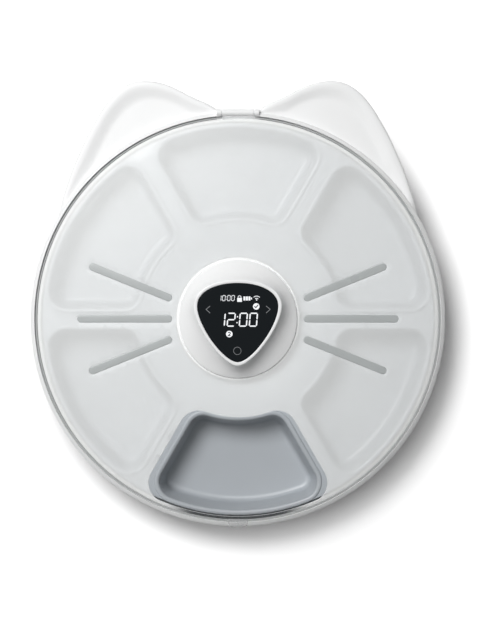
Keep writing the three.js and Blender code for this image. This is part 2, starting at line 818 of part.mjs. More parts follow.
function gearDeck() {
  let body = disc(columnBore - seatGap, gearDeckUnderZ, gearDeckTopZ);
  for (const turn of boardPostTurns) {
    const [x, y] = placeAt(mainBoardRadius - 3 * postRadius, turn);
    body = body.add(post(postRadius, gearDeckUnderZ, gearDeckTopZ + postHeight, x, y));
  }
  body = body.subtract(post(axleRadius + seatGap, 0, rimTopZ, 0, driveY));
  body = body.subtract(post(shaftRadius + runGap, 0, rimTopZ, 0, pinionY));
  for (const [x, y] of deckScrewPlaces) body = body.subtract(post(screwHole, 0, rimTopZ, x, y));
  return body.subtract(post(2 * leadRadius, 0, rimTopZ, leadX, leadY));
}

add('gear_deck', gearDeck(), deckBlack());

deckScrewPlaces.forEach(([x, y], i) => {
  const length = gearDeckThickness + ledgeThickness - seatGap;
  const headZ = gearDeckTopZ + seatGap;
  const body = post(screwRadius, headZ - length, headZ + screwHeadHeight, x, y);
  add(`deck_screw_${i + 1}`, body.add(post(screwHeadRadius, headZ, headZ + screwHeadHeight, x, y)), steel());
});

const gearboxTopZ = gearDeckUnderZ - seatGap;
const gearboxUnderZ = gearboxTopZ - gearboxLength;
const shaftFootZ = gearboxUnderZ + gearboxLength / 2;

function gearbox() {
  const body = post(gearboxRadius, gearboxUnderZ, gearboxTopZ, 0, pinionY, footSides);
  return body.subtract(post(shaftRadius + runGap, shaftFootZ, rimTopZ, 0, pinionY));
}

function motorCan() {
  const topZ = gearboxUnderZ - seatGap;
  return post(motorRadius, topZ - motorLength, topZ, 0, pinionY, footSides);
}

function gearAxle() {
  const headZ = gearboxTopZ - axleHeadThickness;
  const shank = post(axleRadius, headZ, gearTopZ + seatGap, 0, driveY);
  return shank.add(post(axleHeadRadius, headZ, gearboxTopZ, 0, driveY));
}

add('motor_gearbox', gearbox(), steel());
add('motor_can', motorCan(), steel());
add('gear_axle', gearAxle(), steel());

function gearWheel(teeth, boreRadius, phase) {
  const outline = gearShape(teeth, toothThinning, addendum, dedendum, wheelFlankSteps);
  const rim = prism(outline, gearUnderZ, gearTopZ);
  const boss = disc(gearBossRadius, gearDeckTopZ + seatGap, gearUnderZ + seatGap, footSides);
  return rim.add(boss).subtract(disc(boreRadius, 0, rimTopZ, pinSides)).rotate([0, 0, phase]);
}

const driveGear = gearWheel(driveTeeth, axleRadius + runGap, 90);
const pinionShare = 0.5 - (driveTeeth % 2) / 2;
const motorPinion = gearWheel(pinionTeeth, shaftRadius + seatGap, 90 + (360 / pinionTeeth) * pinionShare);
const outputShaft = post(shaftRadius, shaftFootZ + seatGap, gearTopZ + seatGap, 0, pinionY);
add('drive_gear', driveGear.translate([0, driveY, 0]), acetal());
add('motor_pinion', motorPinion.translate([0, pinionY, 0]), acetal());
add('output_shaft', outputShaft, steel());

function driveRing() {
  const shape = new THREE.Shape().absarc(0, 0, ringRadius, 0, 2 * Math.PI, false);
  const teeth = gearShape(ringTeeth, -toothThinning, dedendum, addendum, ringFlankSteps);
  const blank = prism(shape, ringUnderZ, ringUnderZ + ringHeight, latheSides / 2);
  const toothed = prism(teeth, ringUnderZ - overrun, ringUnderZ + ringHeight + overrun);
  return blank.subtract(toothed.rotate([0, 0, 90]));
}

add('drive_ring', driveRing(), acetal());

// Main board, battery, power socket and leads

function mainBoard() {
  const chipZ = mainBoardUnderZ + boardThickness - seatGap;
  const half = boardChipSize / 2;
  const chip = box(-half, half, 0, boardChipSize, chipZ, chipZ + seatGap + boardChipHeight);
  const plugX = leadX - boardChipSize;
  const plug = box(plugX, plugX + half, -boardChipSize, -half, chipZ, chipZ + 3 * boardChipHeight);
  return disc(mainBoardRadius, mainBoardUnderZ, mainBoardUnderZ + boardThickness).add(chip).add(plug);
}

add('main_board', mainBoard(), board());

const cellZ = coverTopZ + seatGap + holderWall + seatGap + cellRadius;

function batteryCell() {
  const upright = disc(cellRadius, -cellLength / 2, cellLength / 2, footSides);
  return upright.rotate([0, 90, 0]).translate([0, cellY, cellZ]);
}

function batteryHolder() {
  const half = holderHalfLength;
  const deep = holderHalfWidth;
  const zLow = coverTopZ + seatGap;
  const trough = box(-half, half, cellY - deep, cellY + deep, zLow, zLow + holderRise);
  const room = box(
    -half + holderWall, half - holderWall, cellY - cellRadius - seatGap, cellY + cellRadius + seatGap,
    zLow + holderWall, zLow + holderRise + overrun,
  );
  return trough.subtract(room);
}

add('battery_holder', batteryHolder(), deckBlack());
add('battery_cell', batteryCell(), cellBlue());

const socketEndY = baseRadius - undersideInset - shellWall - seatGap;
add('usb_board', box(
  -socketBoardWidth / 2, socketBoardWidth / 2, socketEndY - socketBoardLength, socketEndY,
  socketBoardZ, socketBoardZ + socketBoardThickness,
), board());

function powerSocket() {
  const shell = box(
    -socketWidth / 2, socketWidth / 2, socketEndY - socketLength, socketEndY, socketZ, socketZ + socketHeight,
  );
  const mouth = box(
    -socketWidth / 2 + socketWall, socketWidth / 2 - socketWall, socketEndY - socketLength + 2 * socketWall,
    socketEndY + overrun, socketZ + socketWall, socketZ + socketHeight - socketWall,
  );
  return shell.subtract(mouth);
}

add('usb_socket', powerSocket(), steel());

// Internal power lead, from the socket's board through the bay and up the column
const leadBayZ = wellUnderZ - leadRadius - seatGap - leadRadius / 2;
const leadRoute = [
  [0, socketEndY - socketBoardLength - 3 * seatGap, leadBayZ],
  [0, socketEndY - 2 * socketBoardLength, leadBayZ],
  [leadX / 2, packInner, leadBayZ],
  [leadX - 2 * leadY, floorHoleRadius - leadY, leadBayZ],
  [leadX, floorHoleRadius / 2, leadBayZ],
  [leadX, 2 * leadY, leadBayZ + leadRadius],
  [leadX, leadY, wellFloorZ],
  [leadX, leadY, gearboxUnderZ],
  [leadX, leadY, gearDeckTopZ],
  [leadX - leadY, leadY, gearTopZ - leadY],
  [mainBoardRadius - leadY, leadY, mainBoardUnderZ - 2 * leadY],
  [mainBoardRadius - leadY, leadY, mainBoardUnderZ - seatGap],
].map((point) => new THREE.Vector3(...point));

function powerLead() {
  const section = new THREE.Shape().absarc(0, 0, leadRadius, 0, 2 * Math.PI, false);
  return solid(new THREE.ExtrudeGeometry(section, {
    steps: leadSteps,
    curveSegments: leadArcSides,
    bevelEnabled: false,
    extrudePath: new THREE.CatmullRomCurve3(leadRoute),
  }));
}

add('power_lead', powerLead(), leadBlack());

// Hub: white cone with the raised display unit on top

function coneRings(inward, downward) {
  const radius = hubRadius - inward;
  const grow = bezelWidth + seatGap + platformWidth - inward;
  const rings = coneStepShares.map(([across, up]) =>
    hubRing(radius, grow, across, coneBaseZ - downward + coneHeight * up));
  return [...rings, hubRing(radius, grow - (inward > 0 ? 0 : edgeRound), 1, platformZ - downward)];
}

function hubCover() {
  const outside = loft([
    hubRing(hubRadius, 0, 0, neckZ + seatGap),
    hubRing(hubRadius, 0, 0, coneBaseZ),
    ...coneRings(0, 0),
  ]);
  const inside = loft([
    hubRing(hubRadius - hubWall, 0, 0, neckZ - overrun),
    hubRing(hubRadius - hubWall, 0, 0, coneBaseZ - hubWall),
    ...coneRings(hubWall, hubWall),
  ]);
  let body = outside.subtract(inside);
  const bossRoom = outside.add(disc(columnBore, 0, coneBaseZ));
  for (const [x, y] of hubScrewPlaces) {
    body = body.add(post(hubBossRadius, hubEarTopZ + seatGap, platformZ, x, y).intersect(bossRoom));
  }
  const bezelRoom = noseShape(bezelWidth + seatGap);
  body = body.subtract(prism(bezelRoom, coneBaseZ + hubWall, platformZ + overrun, noseSides));
  for (const [x, y] of hubScrewPlaces) {
    body = body.subtract(post(screwPilot, 0, neckZ + hubWall, x, y));
  }
  return body;
}

add('hub_cover', hubCover(), white());

hubScrewPlaces.forEach(([x, y], i) => {
  const headZ = hubEarTopZ - hubEarThickness - seatGap - screwHeadHeight;
  add(`hub_screw_${i + 1}`, screw(headZ, neckZ - hubEarTopZ + hubEarThickness, x, y), steel());
});

function displayBezel() {
  const flangeTopZ = platformZ - hubWall - seatGap;
  const outside = loft([
    hubRing(1, bezelWidth, 1, flangeTopZ - bezelFlangeThickness),
    hubRing(1, bezelWidth, 1, bezelTopZ - edgeRound),
    hubRing(1, bezelWidth - edgeRound / 2, 1, bezelTopZ),
  ]);
  return outside
    .subtract(prism(noseShape(-bezelLedge), 0, bezelTopZ + overrun, noseSides))
    .subtract(prism(noseShape(seatGap), bezelLedgeTopZ, bezelTopZ + overrun, noseSides))
    .subtract(prism(noseShape(seatGap), 0, bezelLedgeUnderZ, noseSides));
}

const displayBoardTopZ = bezelLedgeUnderZ - 2 * seatGap;
const displayBoardUnderZ = displayBoardTopZ - boardThickness;
const displayLens = prism(noseShape(), lensUnderZ, lensTopZ, noseSides);
const displayModule = prism(
  noseShape(-displayModuleInset), bezelLedgeUnderZ - seatGap, bezelLedgeTopZ, noseSides,
);
const displayBoard = prism(noseShape(), displayBoardUnderZ, displayBoardTopZ, noseSides);
add('display_bezel', displayBezel(), white());
add('display_lens', displayLens, blackGlass());
add('display_module', displayModule, deckBlack());
add('display_board', displayBoard, board());

// Flat flexible lead between the two boards
function displayRibbon() {
  const low = mainBoardUnderZ + boardThickness + seatGap;
  const high = displayBoardUnderZ - seatGap;
  const middle = (low + high) / 2;
  const shape = new THREE.Shape();
  shape.moveTo(0, low);
  shape.quadraticCurveTo(ribbonBow, middle, 0, high);
  shape.lineTo(-ribbonThickness, high);
  shape.quadraticCurveTo(ribbonBow - ribbonThickness, middle, -ribbonThickness, low);
  const options = { depth: ribbonWidth, bevelEnabled: false, curveSegments: ribbonArcSides };
  const strip = new THREE.ExtrudeGeometry(shape, options).rotateX(rightAngle);
  return solid(strip.translate(-mainBoardRadius / 2, 0, 0));
}

add('display_ribbon', displayRibbon(), leadBlack());

// Rim seal under and round the lid's edge

function rimSeal() {
  const outer = rimInnerRadius - seatGap;
  const inner = outer - sealFootWidth;
  const ring = turned([
    [inner, sealFootUnderZ], [outer, sealFootUnderZ], [outer, rimTopZ - sealDrop],
    [outer - sealWidth, rimTopZ - sealDrop], [outer - sealWidth, sealFootTopZ], [inner, sealFootTopZ],
  ], outlineSides);
  const gap = lugEndX + seatGap;
  return ring.subtract(box(-gap, gap, 0, baseRadius, rebateZ, rimTopZ));
}

add('rim_seal', rimSeal(), rubber());

// Tray: deck with six drafted compartments and a raised lip round each mouth

const mouth = (shrink, height) => compartmentRing(pocketMouth, shrink, height);

function pocketOutside() {
  const deckMiddleZ = (deckUnderZ + deckTopZ) / 2;
  return loft([
    mouth(pocketDraft + pocketFillet - trayWall, trayUnderZ),
    mouth(pocketDraft - trayWall, trayUnderZ + pocketFillet),
    mouth(-trayWall, deckMiddleZ),
    mouth(-lipWidth, deckMiddleZ),
    mouth(-lipWidth + lipHeight, deckTopZ + lipHeight),
  ]);
}

function pocketInside() {
  return loft([
    mouth(pocketDraft + pocketFillet, pocketFloorZ),
    mouth(pocketDraft, pocketFloorZ + pocketFillet),
    mouth(0, deckTopZ),
    mouth(-overrun / 2, deckTopZ + overrun),
  ]);
}

function tray() {
  const turns = Array.from({ length: pocketCount }, (_, i) => pocketTurn + (360 / pocketCount) * i);
  const rimFoot = deckUnderZ - 2 * deckThickness;
  let body = turned([
    [trayHoleRadius, deckUnderZ], [trayRadius - deckThickness, deckUnderZ],
    [trayRadius - deckThickness, rimFoot], [trayRadius, rimFoot],
    [trayRadius, deckTopZ], [trayHoleRadius, deckTopZ],
  ], outlineSides);
  const bossTopZ = deckUnderZ + deckThickness / 2;
  body = body.add(post(magnetBossRadius, magnetBossZ, bossTopZ, 0, -magnetRing));
  for (const turn of turns) body = body.add(pocketOutside().rotate([0, 0, turn]));
  for (const turn of turns) body = body.subtract(pocketInside().rotate([0, 0, turn]));
  return body;
}

const magnetBossZ = deckUnderZ - magnetHeight / 2;
const magnetTopZ = magnetBossZ - seatGap;
add('tray', tray(), trayGrey());
add('home_magnet', post(magnetRadius, magnetTopZ - magnetHeight, magnetTopZ, 0, -magnetRing), steel());
add('position_sensor', box(
  -sensorSize / 2, sensorSize / 2, -magnetRing - sensorSize / 2, -magnetRing + sensorSize / 2,
  shoulderTopZ + seatGap, shoulderTopZ + seatGap + sensorHeight,
), deckBlack());

// Cooling packs, two half rings on the well's floor

const packTopZ = packZ + packHeight;
const packRing = turned([
  [packInner, packZ + packBevel], [packInner + packBevel, packZ], [packOuter - packBevel, packZ],
  [packOuter, packZ + packBevel], [packOuter, packTopZ - packBevel],
  [packOuter - packBevel, packTopZ], [packInner + packBevel, packTopZ], [packInner, packTopZ - packBevel],
]);
const packHalf = (low, high) => packRing.intersect(box(low, high, -baseRadius, baseRadius, 0, rimTopZ));
add('cooling_pack_left', packHalf(-baseRadius, -packSplit / 2), packBlue());
add('cooling_pack_right', packHalf(packSplit / 2, baseRadius), packBlue());

// Lid with its window, finger tab and hinge knuckle

function lidTop(radius) {
  const share = Math.max((radius - lidHoleRadius) / (lidRadius - lidHoleRadius), 0);
  return lidEdgeTopZ + lidRise * (1 - share * share);
}

const lidRadii = Array.from({ length: lidSteps + 1 }, (_, i) =>
  lidHoleRadius + ((lidRadius - edgeRound - lidHoleRadius) * i) / lidSteps);

// Layer of the lid between two depths below its top face
function lidLayer(shallow, deep) {
  const top = lidRadii.map((radius) => [radius, lidTop(radius) - shallow]);
  const under = lidRadii.map((radius) => [radius, lidTop(radius) - deep]).reverse();
  return turned([...under, ...top].reverse(), outlineSides);
}

function whiskerShape(innerX, innerY, outerX, outerY, radius) {
  const turn = Math.atan2(outerY - innerY, outerX - innerX);
  const shape = new THREE.Shape();
  shape.absarc(outerX, outerY, radius, turn - rightAngle, turn + rightAngle, false);
  shape.absarc(innerX, innerY, radius, turn + rightAngle, turn + 3 * rightAngle, false);
  return shape;
}

const whiskerRows = [
  ['upper', whiskerInnerY, whiskerOuterX, whiskerOuterY],
  ['middle', 0, whiskerMiddleOuterX, 0],
  ['lower', -whiskerInnerY, whiskerOuterX, -whiskerOuterY],
];
const whiskers = [['left', -1], ['right', 1]].flatMap(([hand, side]) =>
  whiskerRows.map(([row, innerY, outerX, outerY]) => {
    const outline = (radius) =>
      whiskerShape(side * whiskerInnerX, innerY, side * outerX, outerY, radius);
    const upright = (radius) => prism(outline(radius), 0, bezelTopZ, cornerSides);
    const recessLayer = lidLayer(-overrun, whiskerDepth + seatGap);
    return {
      name: `whisker_${hand}_${row}`,
      bar: upright(whiskerWidth / 2).intersect(lidLayer(0, whiskerDepth)),
      recess: upright(whiskerWidth / 2 + seatGap).intersect(recessLayer),
    };
  }));

function lidDisc() {
  const under = lidRadii.map((radius) => [radius, lidTop(radius) - lidThickness]);
  const top = lidRadii.map((radius) => [radius, lidTop(radius)]).reverse();
  const edge = [[lidRadius, lidEdgeUnderZ + edgeRound], [lidRadius, lidEdgeTopZ - edgeRound]];
  return turned([...under, ...edge, ...top], outlineSides);
}

function lidPanel() {
  const windowRing = (height) => compartmentRing(lidWindow, 0, height);
  let body = lidDisc().subtract(loft([windowRing(0), windowRing(bezelTopZ)]).rotate([0, 0, -90]));
  for (const { recess } of whiskers) body = body.subtract(recess);
  const tabUnderZ = rimTopZ + seatGap;
  const tabRootY = -windowOuter - seatGap;
  const [tabLow, tabHigh] = [-tabWidth / 2, tabWidth / 2];
  const tab = box(tabLow, tabHigh, -baseRadius - tabReach, tabRootY, tabUnderZ, tabUnderZ + tabThickness);
  const tabRoot = box(
    tabLow, tabHigh, -lidRadius + seatGap, tabRootY, lidEdgeUnderZ + edgeRound, tabUnderZ + tabThickness / 2,
  );
  const tongue = box(
    -knuckleLength / 2, knuckleLength / 2, wellRadius, hingeY, lidEdgeUnderZ + seatGap, lidEdgeTopZ,
  );
  body = body.add(tab).add(tabRoot).add(tongue).add(acrossPin(knuckleRadius, knuckleLength));
  return body.subtract(acrossPin(hingePinRadius + runGap, 2 * knuckleLength));
}

add('lid_panel', lidPanel(), clearLid());
for (const { name, bar } of whiskers) add(name, bar, whiskerGrey());
add('hinge_pin', acrossPin(hingePinRadius, 2 * lugEndX), steel());

// Origin: middle of the footprint, on the floor
const extent = new THREE.Box3().setFromObject(feeder);
const middle = extent.getCenter(new THREE.Vector3());
feeder.position.set(-middle.x, -middle.y, -extent.min.z);

export default feeder;
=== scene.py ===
"""Looks of a round automatic pet feeder with ears, seen from above on a pale floor.

Lengths are in metres. Outlines are drawn about the tray's spin axis, and piece() moves
them to the axis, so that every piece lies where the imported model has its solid.
"""

import json
import math

import bmesh
import bpy
import numpy as np
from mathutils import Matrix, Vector
from mathutils.geometry import delaunay_2d_cdt


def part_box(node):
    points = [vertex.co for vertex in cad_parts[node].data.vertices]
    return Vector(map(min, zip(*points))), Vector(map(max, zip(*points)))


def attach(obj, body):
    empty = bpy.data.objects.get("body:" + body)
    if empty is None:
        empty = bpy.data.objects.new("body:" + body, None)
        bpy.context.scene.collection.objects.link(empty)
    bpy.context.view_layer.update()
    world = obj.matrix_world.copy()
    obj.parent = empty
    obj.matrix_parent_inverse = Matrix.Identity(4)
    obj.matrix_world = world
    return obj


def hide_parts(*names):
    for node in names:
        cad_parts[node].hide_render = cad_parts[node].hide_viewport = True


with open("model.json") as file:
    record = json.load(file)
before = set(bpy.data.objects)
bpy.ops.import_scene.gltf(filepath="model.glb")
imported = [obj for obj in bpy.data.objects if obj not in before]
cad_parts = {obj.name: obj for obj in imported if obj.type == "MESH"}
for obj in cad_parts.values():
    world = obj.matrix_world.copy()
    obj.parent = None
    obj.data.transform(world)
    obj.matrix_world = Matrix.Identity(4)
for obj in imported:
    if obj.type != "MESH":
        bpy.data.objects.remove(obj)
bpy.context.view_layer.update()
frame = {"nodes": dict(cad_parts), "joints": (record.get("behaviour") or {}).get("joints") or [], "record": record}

# Places that the frame gives
joint_places = {joint["name"]: joint["pos_m"] for joint in frame["joints"]}
AXIS_Y = joint_places["tray_spin"][1]
HINGE_Y = joint_places["lid_hinge"][1] - AXIS_Y
HINGE_Z = joint_places["lid_hinge"][2]
LID_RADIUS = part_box("lid_panel")[1].x
TRAY_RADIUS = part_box("tray")[1].x
LENS_UNDER, LENS_TOP = (corner.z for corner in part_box("display_lens"))
BEZEL_UNDER, BEZEL_TOP = (corner.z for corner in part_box("display_bezel"))
HUB_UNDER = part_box("hub_cover")[0].z
COVER_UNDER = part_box("bottom_cover")[0].z
SOCKET_LOW, SOCKET_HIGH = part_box("usb_socket")

MM = 0.001

# Small roundings and gaps are drawn in multiples of this
EDGE = 0.1 * MM

# Base
BASE_RADIUS = 165 * MM
SHELL_WALL = 2.2 * MM
UNDERSIDE_INSET = 4.5 * MM
HEEL_INSET = 1.6 * MM
HEEL_HEIGHT = 3 * MM
FLANK_INSET = 0.3 * MM
SHELL_RUN = 1 * MM
RIM_TOP = 55.5 * MM
RIM_INNER = 161.8 * MM
RIM_FALL = 3.4 * MM
RIM_SLOPE = [(0.0, 0.0), (0.05, 0.2), (0.16, 0.38), (0.32, 0.52), (0.6, 0.71), (0.8, 0.84), (0.97, 0.97)]
REBATE_Z = 51.9 * MM
WELL_RADIUS = 157.5 * MM
WELL_FLOOR = 11 * MM
WELL_UNDER = 8.6 * MM
WELL_FILLET = 3 * MM
FLOOR_HOLE = 43.4 * MM
NOTCH_FLOOR = 51 * MM
NOTCH_SLIVER = 0.02
NOTCH_CLEAR = 0.1
SOCKET_GAP = 0.3 * MM
MOUTH_REACH = 5 * MM

# Ears, as shares of the base radius in even steps from beside the hinge
EAR_START = 4
EAR_STEP = 4
EAR_REACH_SHARES = [
    1.0, 1.051, 1.103, 1.172, 1.227, 1.255, 1.248, 1.219, 1.181, 1.145, 1.11, 1.081, 1.052, 1.026, 1.003,
]
EAR_FIT = 0.99
EAR_TOP = 51 * MM
EAR_ROUND = 2.4 * MM
EAR_ROUND_SHARE = 1 / 3
EAR_BORDER = 2.4 * MM
EAR_BORDER_SHARE = 0.15
EAR_SLOPE = 11 * MM
EAR_SLOPE_SHARE = 0.6
EAR_DISH = 1.9 * MM
EAR_BLEND = 7 * MM
EAR_WIDE = 16 * MM

# Tray
DECK_TOP = 50 * MM
DECK_UNDER = 48 * MM
TRAY_HOLE = 49.5 * MM
TRAY_SKIRT = 44 * MM
TRAY_SKIRT_WALL = 2 * MM
TRAY_WALL = 1.8 * MM
POCKETS = 6
POCKET_FLOOR = 23 * MM
POCKET = dict(inner=81.2 * MM, outer=152.3 * MM, side=8.6 * MM, inner_corner=12 * MM, outer_corner=13.5 * MM)

# Across the lip and down the wall, in millimetres: how far inside the mouth's outline, and height
# above the deck; for the wall's underside, height above the compartment's floor
LIP_PROFILE = [
    (-4.2, 0.0), (-4.1, 0.1), (-4.0, 0.36), (-3.86, 0.7), (-3.56, 1.0), (-3.05, 1.22), (-2.35, 1.3),
    (-1.6, 1.22), (-0.9, 0.96), (-0.35, 0.52), (0.0, -0.1), (0.22, -0.9), (0.4, -2.0),
]
WALL_PROFILE = [(3.5, -21.5), (3.8, -23.0), (4.4, -24.5), (5.5, -25.9), (7.0, -26.7), (9.0, -27.0)]
UNDER_PROFILE = [(3.5, 5.5), (4.6, 2.2), (9.0, 0.0)]
UNDER_EDGE = 1 * MM

# Lid
LID_EDGE_TOP = 55.9 * MM
LID_THICKNESS = 2.4 * MM
LID_RISE = 5 * MM
LID_HOLE = 47 * MM
LID_ROUND = 0.35 * MM
LID_SHOULDER = 5.2 * MM
LID_FALL = 1.65 * MM
WINDOW = dict(inner=78 * MM, outer=157.3 * MM, side=1.5 * MM, inner_corner=16 * MM, outer_corner=16 * MM)
BRIDGE_OVERLAP = 0.9 * MM
BRIDGE_HALF = 62 * MM
TAB_WIDTH = 15.6 * MM
TAB_CORNER = 3.4 * MM
TAB_ROOT = 0.7 * MM
TAB_END = 165.3 * MM
TAB_UNDER = 55.8 * MM
TAB_THICKNESS = 1.5 * MM
WHISKER_HALF = 3 * MM
WHISKER_DEPTH = 0.8 * MM
WHISKER_GAP = 0.15 * MM

# Whiskers on the right in millimetres: x where all start, then y of each start, x and y of its end
WHISKER_START = 55
WHISKERS = [("upper", 16.8, 115, 41), ("middle", 0, 124.5, 0), ("lower", -16.8, 115, -41)]

# Whisker's edge in millimetres: how far in, and how far below the lid's surface
WHISKER_EDGE = [(0, 0.35), (0.1, 0.17), (0.3, 0.05), (0.6, 0), (1.5, -0.04), (2.8, -0.06)]

# Hinge
KNUCKLE_RADIUS = 2.8 * MM
KNUCKLE_HALF = 12.7 * MM
LUG_INNER = 13 * MM
LUG_OUTER = 17 * MM
LUG_FOOT = 3 * MM
PIN_RADIUS = 1.5 * MM
HINGE_GAP = 0.3 * MM
TONGUE_OVERLAP = 1.2 * MM

# Rim seal
SEAL_OUTER = 161.6 * MM
SEAL_INNER = 157.55 * MM
SEAL_BEAD = 1.75 * MM
SEAL_TOP = 54.5 * MM
SEAL_EDGE_TOP = 52.5 * MM
SEAL_LOW_TOP = 53.3 * MM
SEAL_LOW_OUTER = 160.9 * MM
SEAL_UNDER = 52.2 * MM
SEAL_OPENING = math.asin((LUG_OUTER + HINGE_GAP) / SEAL_OUTER)

# Hub and display
HUB_RADIUS = 46.7 * MM
HUB_WALL = 2.2 * MM
HUB_EDGE_ROUND = 0.35 * MM
CONE_BASE = 61.6 * MM
CONE_HEIGHT = 12.1 * MM
CONE_INNER_SHARE = 0.9
CONE_SHARES = [
    (0.04, 0.03), (0.14, 0.085), (0.3, 0.19), (0.46, 0.31), (0.62, 0.45), (0.76, 0.61), (0.88, 0.79),
    (0.96, 0.935), (1, 1),
]
COLLAR_RADIUS = 48.9 * MM
COLLAR_TOP = 58.1 * MM
NOSE_HALF = 31.7 * MM
NOSE_TOP = 28 * MM
NOSE_BOTTOM = 33.9 * MM
NOSE_WIDEST = 10 * MM
NOSE_TOP_SHARES = (0.56, 1, 0.63)
NOSE_SIDE_SHARES = (1.55, 0.34)
BEZEL_WIDTH = 3.2 * MM
BEZEL_LEDGE = 2 * MM

# Bezel's edges in millimetres, with depths below its top: how far in from its outside, and how far
# out from the lens
BEZEL_OUTSIDE = [(0, 1.7), (0.1, 1.1), (0.25, 0.6), (0.5, 0.27), (0.8, 0.1), (1.3, 0)]
BEZEL_INSIDE = [(0.4, 0.02), (0.2, 0.1), (0.12, 0.3)]

# Column in millimetres, as (radius, height)
COLUMN_PROFILE = [
    (44, 11.3), (56, 11.3), (56, 12.9), (55.6, 13.3), (48, 13.3), (46.5, 14.8), (46.5, 31.9), (60.4, 34.3),
    (60.4, 39), (58.6, 39), (58.6, 36.7), (46.5, 36.7), (46.5, 54.3), (46.2, 54.6), (43.8, 54.6),
    (43.8, 59.8), (41.3, 59.8), (41.3, 54.6), (44, 52.1),
]

# Feet, with the underside of one as (share of its radius, height in millimetres)
FEET = 6
FOOT_PROFILE = [(1, 0.9), (0.97, 0.3), (0.9, 0), (0.62, 0), (0.58, 0.4), (0.1, 0.5)]

# How finely things are divided
TURN_STEPS = 480
CURVE_STEPS = 28
DISH_STEPS = 18
EAR_EDGE_STEPS = 6
FILLET_STEPS = 5
EDGE_STEPS = 4
ROUND_STEPS = 48
HINGE_STEPS = 24
CORNER_STEPS = 10
GRID = 4.5 * MM
GRID_CLEARANCE = 0.45
RING_CLEARANCE = 0.13
SHOULDER_RINGS = [inset * MM for inset in (1, 2, 3.1, 4.2, 5.4, 7.2)]
SAME_POINT = 0.002 * MM
FILL_TOLERANCE = 1e-9
SHARP_ANGLE = math.radians(38)
FLAT_END_SHARE = 0.985


# Outlines

def mm(pairs):
    """Pairs of millimetres in metres."""
    return [(a * MM, b * MM) for a, b in pairs]


def eased(share):
    """Smooth rise from 0 to 1."""
    share = min(max(share, 0.0), 1.0)
    return share * share * (3 - 2 * share)


def quarter(steps):
    """Over a quarter turn: 1 less the cosine, which grows, and 1 less the sine, which falls to 0."""
    turns = [math.pi / 2 * i / steps for i in range(steps + 1)]
    return [(1 - math.cos(turn), 1 - math.sin(turn)) for turn in turns]


def bevelled(start, end, bevel):
    """Places between two ends, each with how far a bevel draws it in."""
    return (start, bevel), (start + bevel, 0), (end - bevel, 0), (end, bevel)


def polar(radius, angle):
    return radius * math.cos(angle), radius * math.sin(angle)


def arc(x, y, radius, start, end, steps):
    """Points along an arc, without its last one."""
    points = [polar(radius, start + (end - start) * i / steps) for i in range(steps)]
    return [(x + across, y + up) for across, up in points]


def circle(radius, steps=TURN_STEPS, x=0, y=0):
    return arc(x, y, radius, 0, 2 * math.pi, steps)


def compartment(shape, shrink=0.0):
    """Rounded sector between two dividers, pointing along +X, drawn in by shrink."""
    near, far = shape["inner"] + shrink, shape["outer"] - shrink
    flank = shape["side"] + shrink
    inner_round, outer_round = shape["inner_corner"] - shrink, shape["outer_corner"] - shrink
    divider = math.pi / POCKETS
    wall = divider + math.pi / 2

    def centre(reach, corner):
        across = flank + corner
        angle = divider - math.atan2(across, math.sqrt(reach ** 2 - across ** 2))
        return angle, polar(reach, angle)

    outer_angle, (outer_x, outer_y) = centre(far - outer_round, outer_round)
    inner_angle, (inner_x, inner_y) = centre(near + inner_round, inner_round)
    return [
        *arc(0, 0, far, -outer_angle, outer_angle, 2 * CURVE_STEPS),
        *arc(outer_x, outer_y, outer_round, outer_angle, wall, CURVE_STEPS // 2),
        (outer_x + outer_round * math.cos(wall), outer_y + outer_round * math.sin(wall)),
        *arc(inner_x, inner_y, inner_round, wall, inner_angle + math.pi, CURVE_STEPS // 2),
        *arc(0, 0, near, inner_angle, -inner_angle, CURVE_STEPS),
        *arc(inner_x, -inner_y, inner_round, math.pi - inner_angle, 2 * math.pi - wall, CURVE_STEPS // 2),
        (inner_x + inner_round * math.cos(wall), -inner_y - inner_round * math.sin(wall)),
        *arc(outer_x, -outer_y, outer_round, -wall, -outer_angle, CURVE_STEPS // 2),
    ]


def turned_points(points, angle):
    c, s = math.cos(angle), math.sin(angle)
    return [(x * c - y * s, x * s + y * c) for x, y in points]


def straight(start, end, steps):
    """Points along a line, without its last one."""
    (x0, y0), (x1, y1) = start, end
    return [(x0 + (x1 - x0) * i / steps, y0 + (y1 - y0) * i / steps) for i in range(steps)]


def capsule(inner, outer, radius, steps=14, along=20):
    """Long outline with round ends, with points along its straight sides too."""
    (x0, y0), (x1, y1) = inner, outer
    turn = math.atan2(y1 - y0, x1 - x0)
    left, right = turn + math.pi / 2, turn - math.pi / 2
    across, up = polar(radius, left)
    return [
        *arc(x1, y1, radius, right, left, steps),
        *straight((x1 + across, y1 + up), (x0 + across, y0 + up), along),
        *arc(x0, y0, radius, left, left + math.pi, steps),
        *straight((x0 - across, y0 - up), (x1 - across, y1 - up), along),
    ]


def smooth_value(values, place):
    """Smooth curve through evenly spaced values."""
    step = min(int(place), len(values) - 2)
    before, start, end, after = (values[min(max(step + k, 0), len(values) - 1)] for k in (-1, 0, 1, 2))
    t = place - step
    bend = 2 * before - 5 * start + 4 * end - after
    twist = 3 * (start - end) + after - before
    return start + 0.5 * t * (end - before + t * (bend + t * twist))


def outline_radius(degrees):
    """Reach of the base's outline, ears included, in one direction from +X."""
    from_rear = abs((degrees + 90) % 360 - 180)
    place = (from_rear - EAR_START) / EAR_STEP
    if place < 0 or place > len(EAR_REACH_SHARES) - 1:
        return BASE_RADIUS
    grown = max(0.0, smooth_value(EAR_REACH_SHARES, place) - 1)
    return BASE_RADIUS * (1 + EAR_FIT * grown)


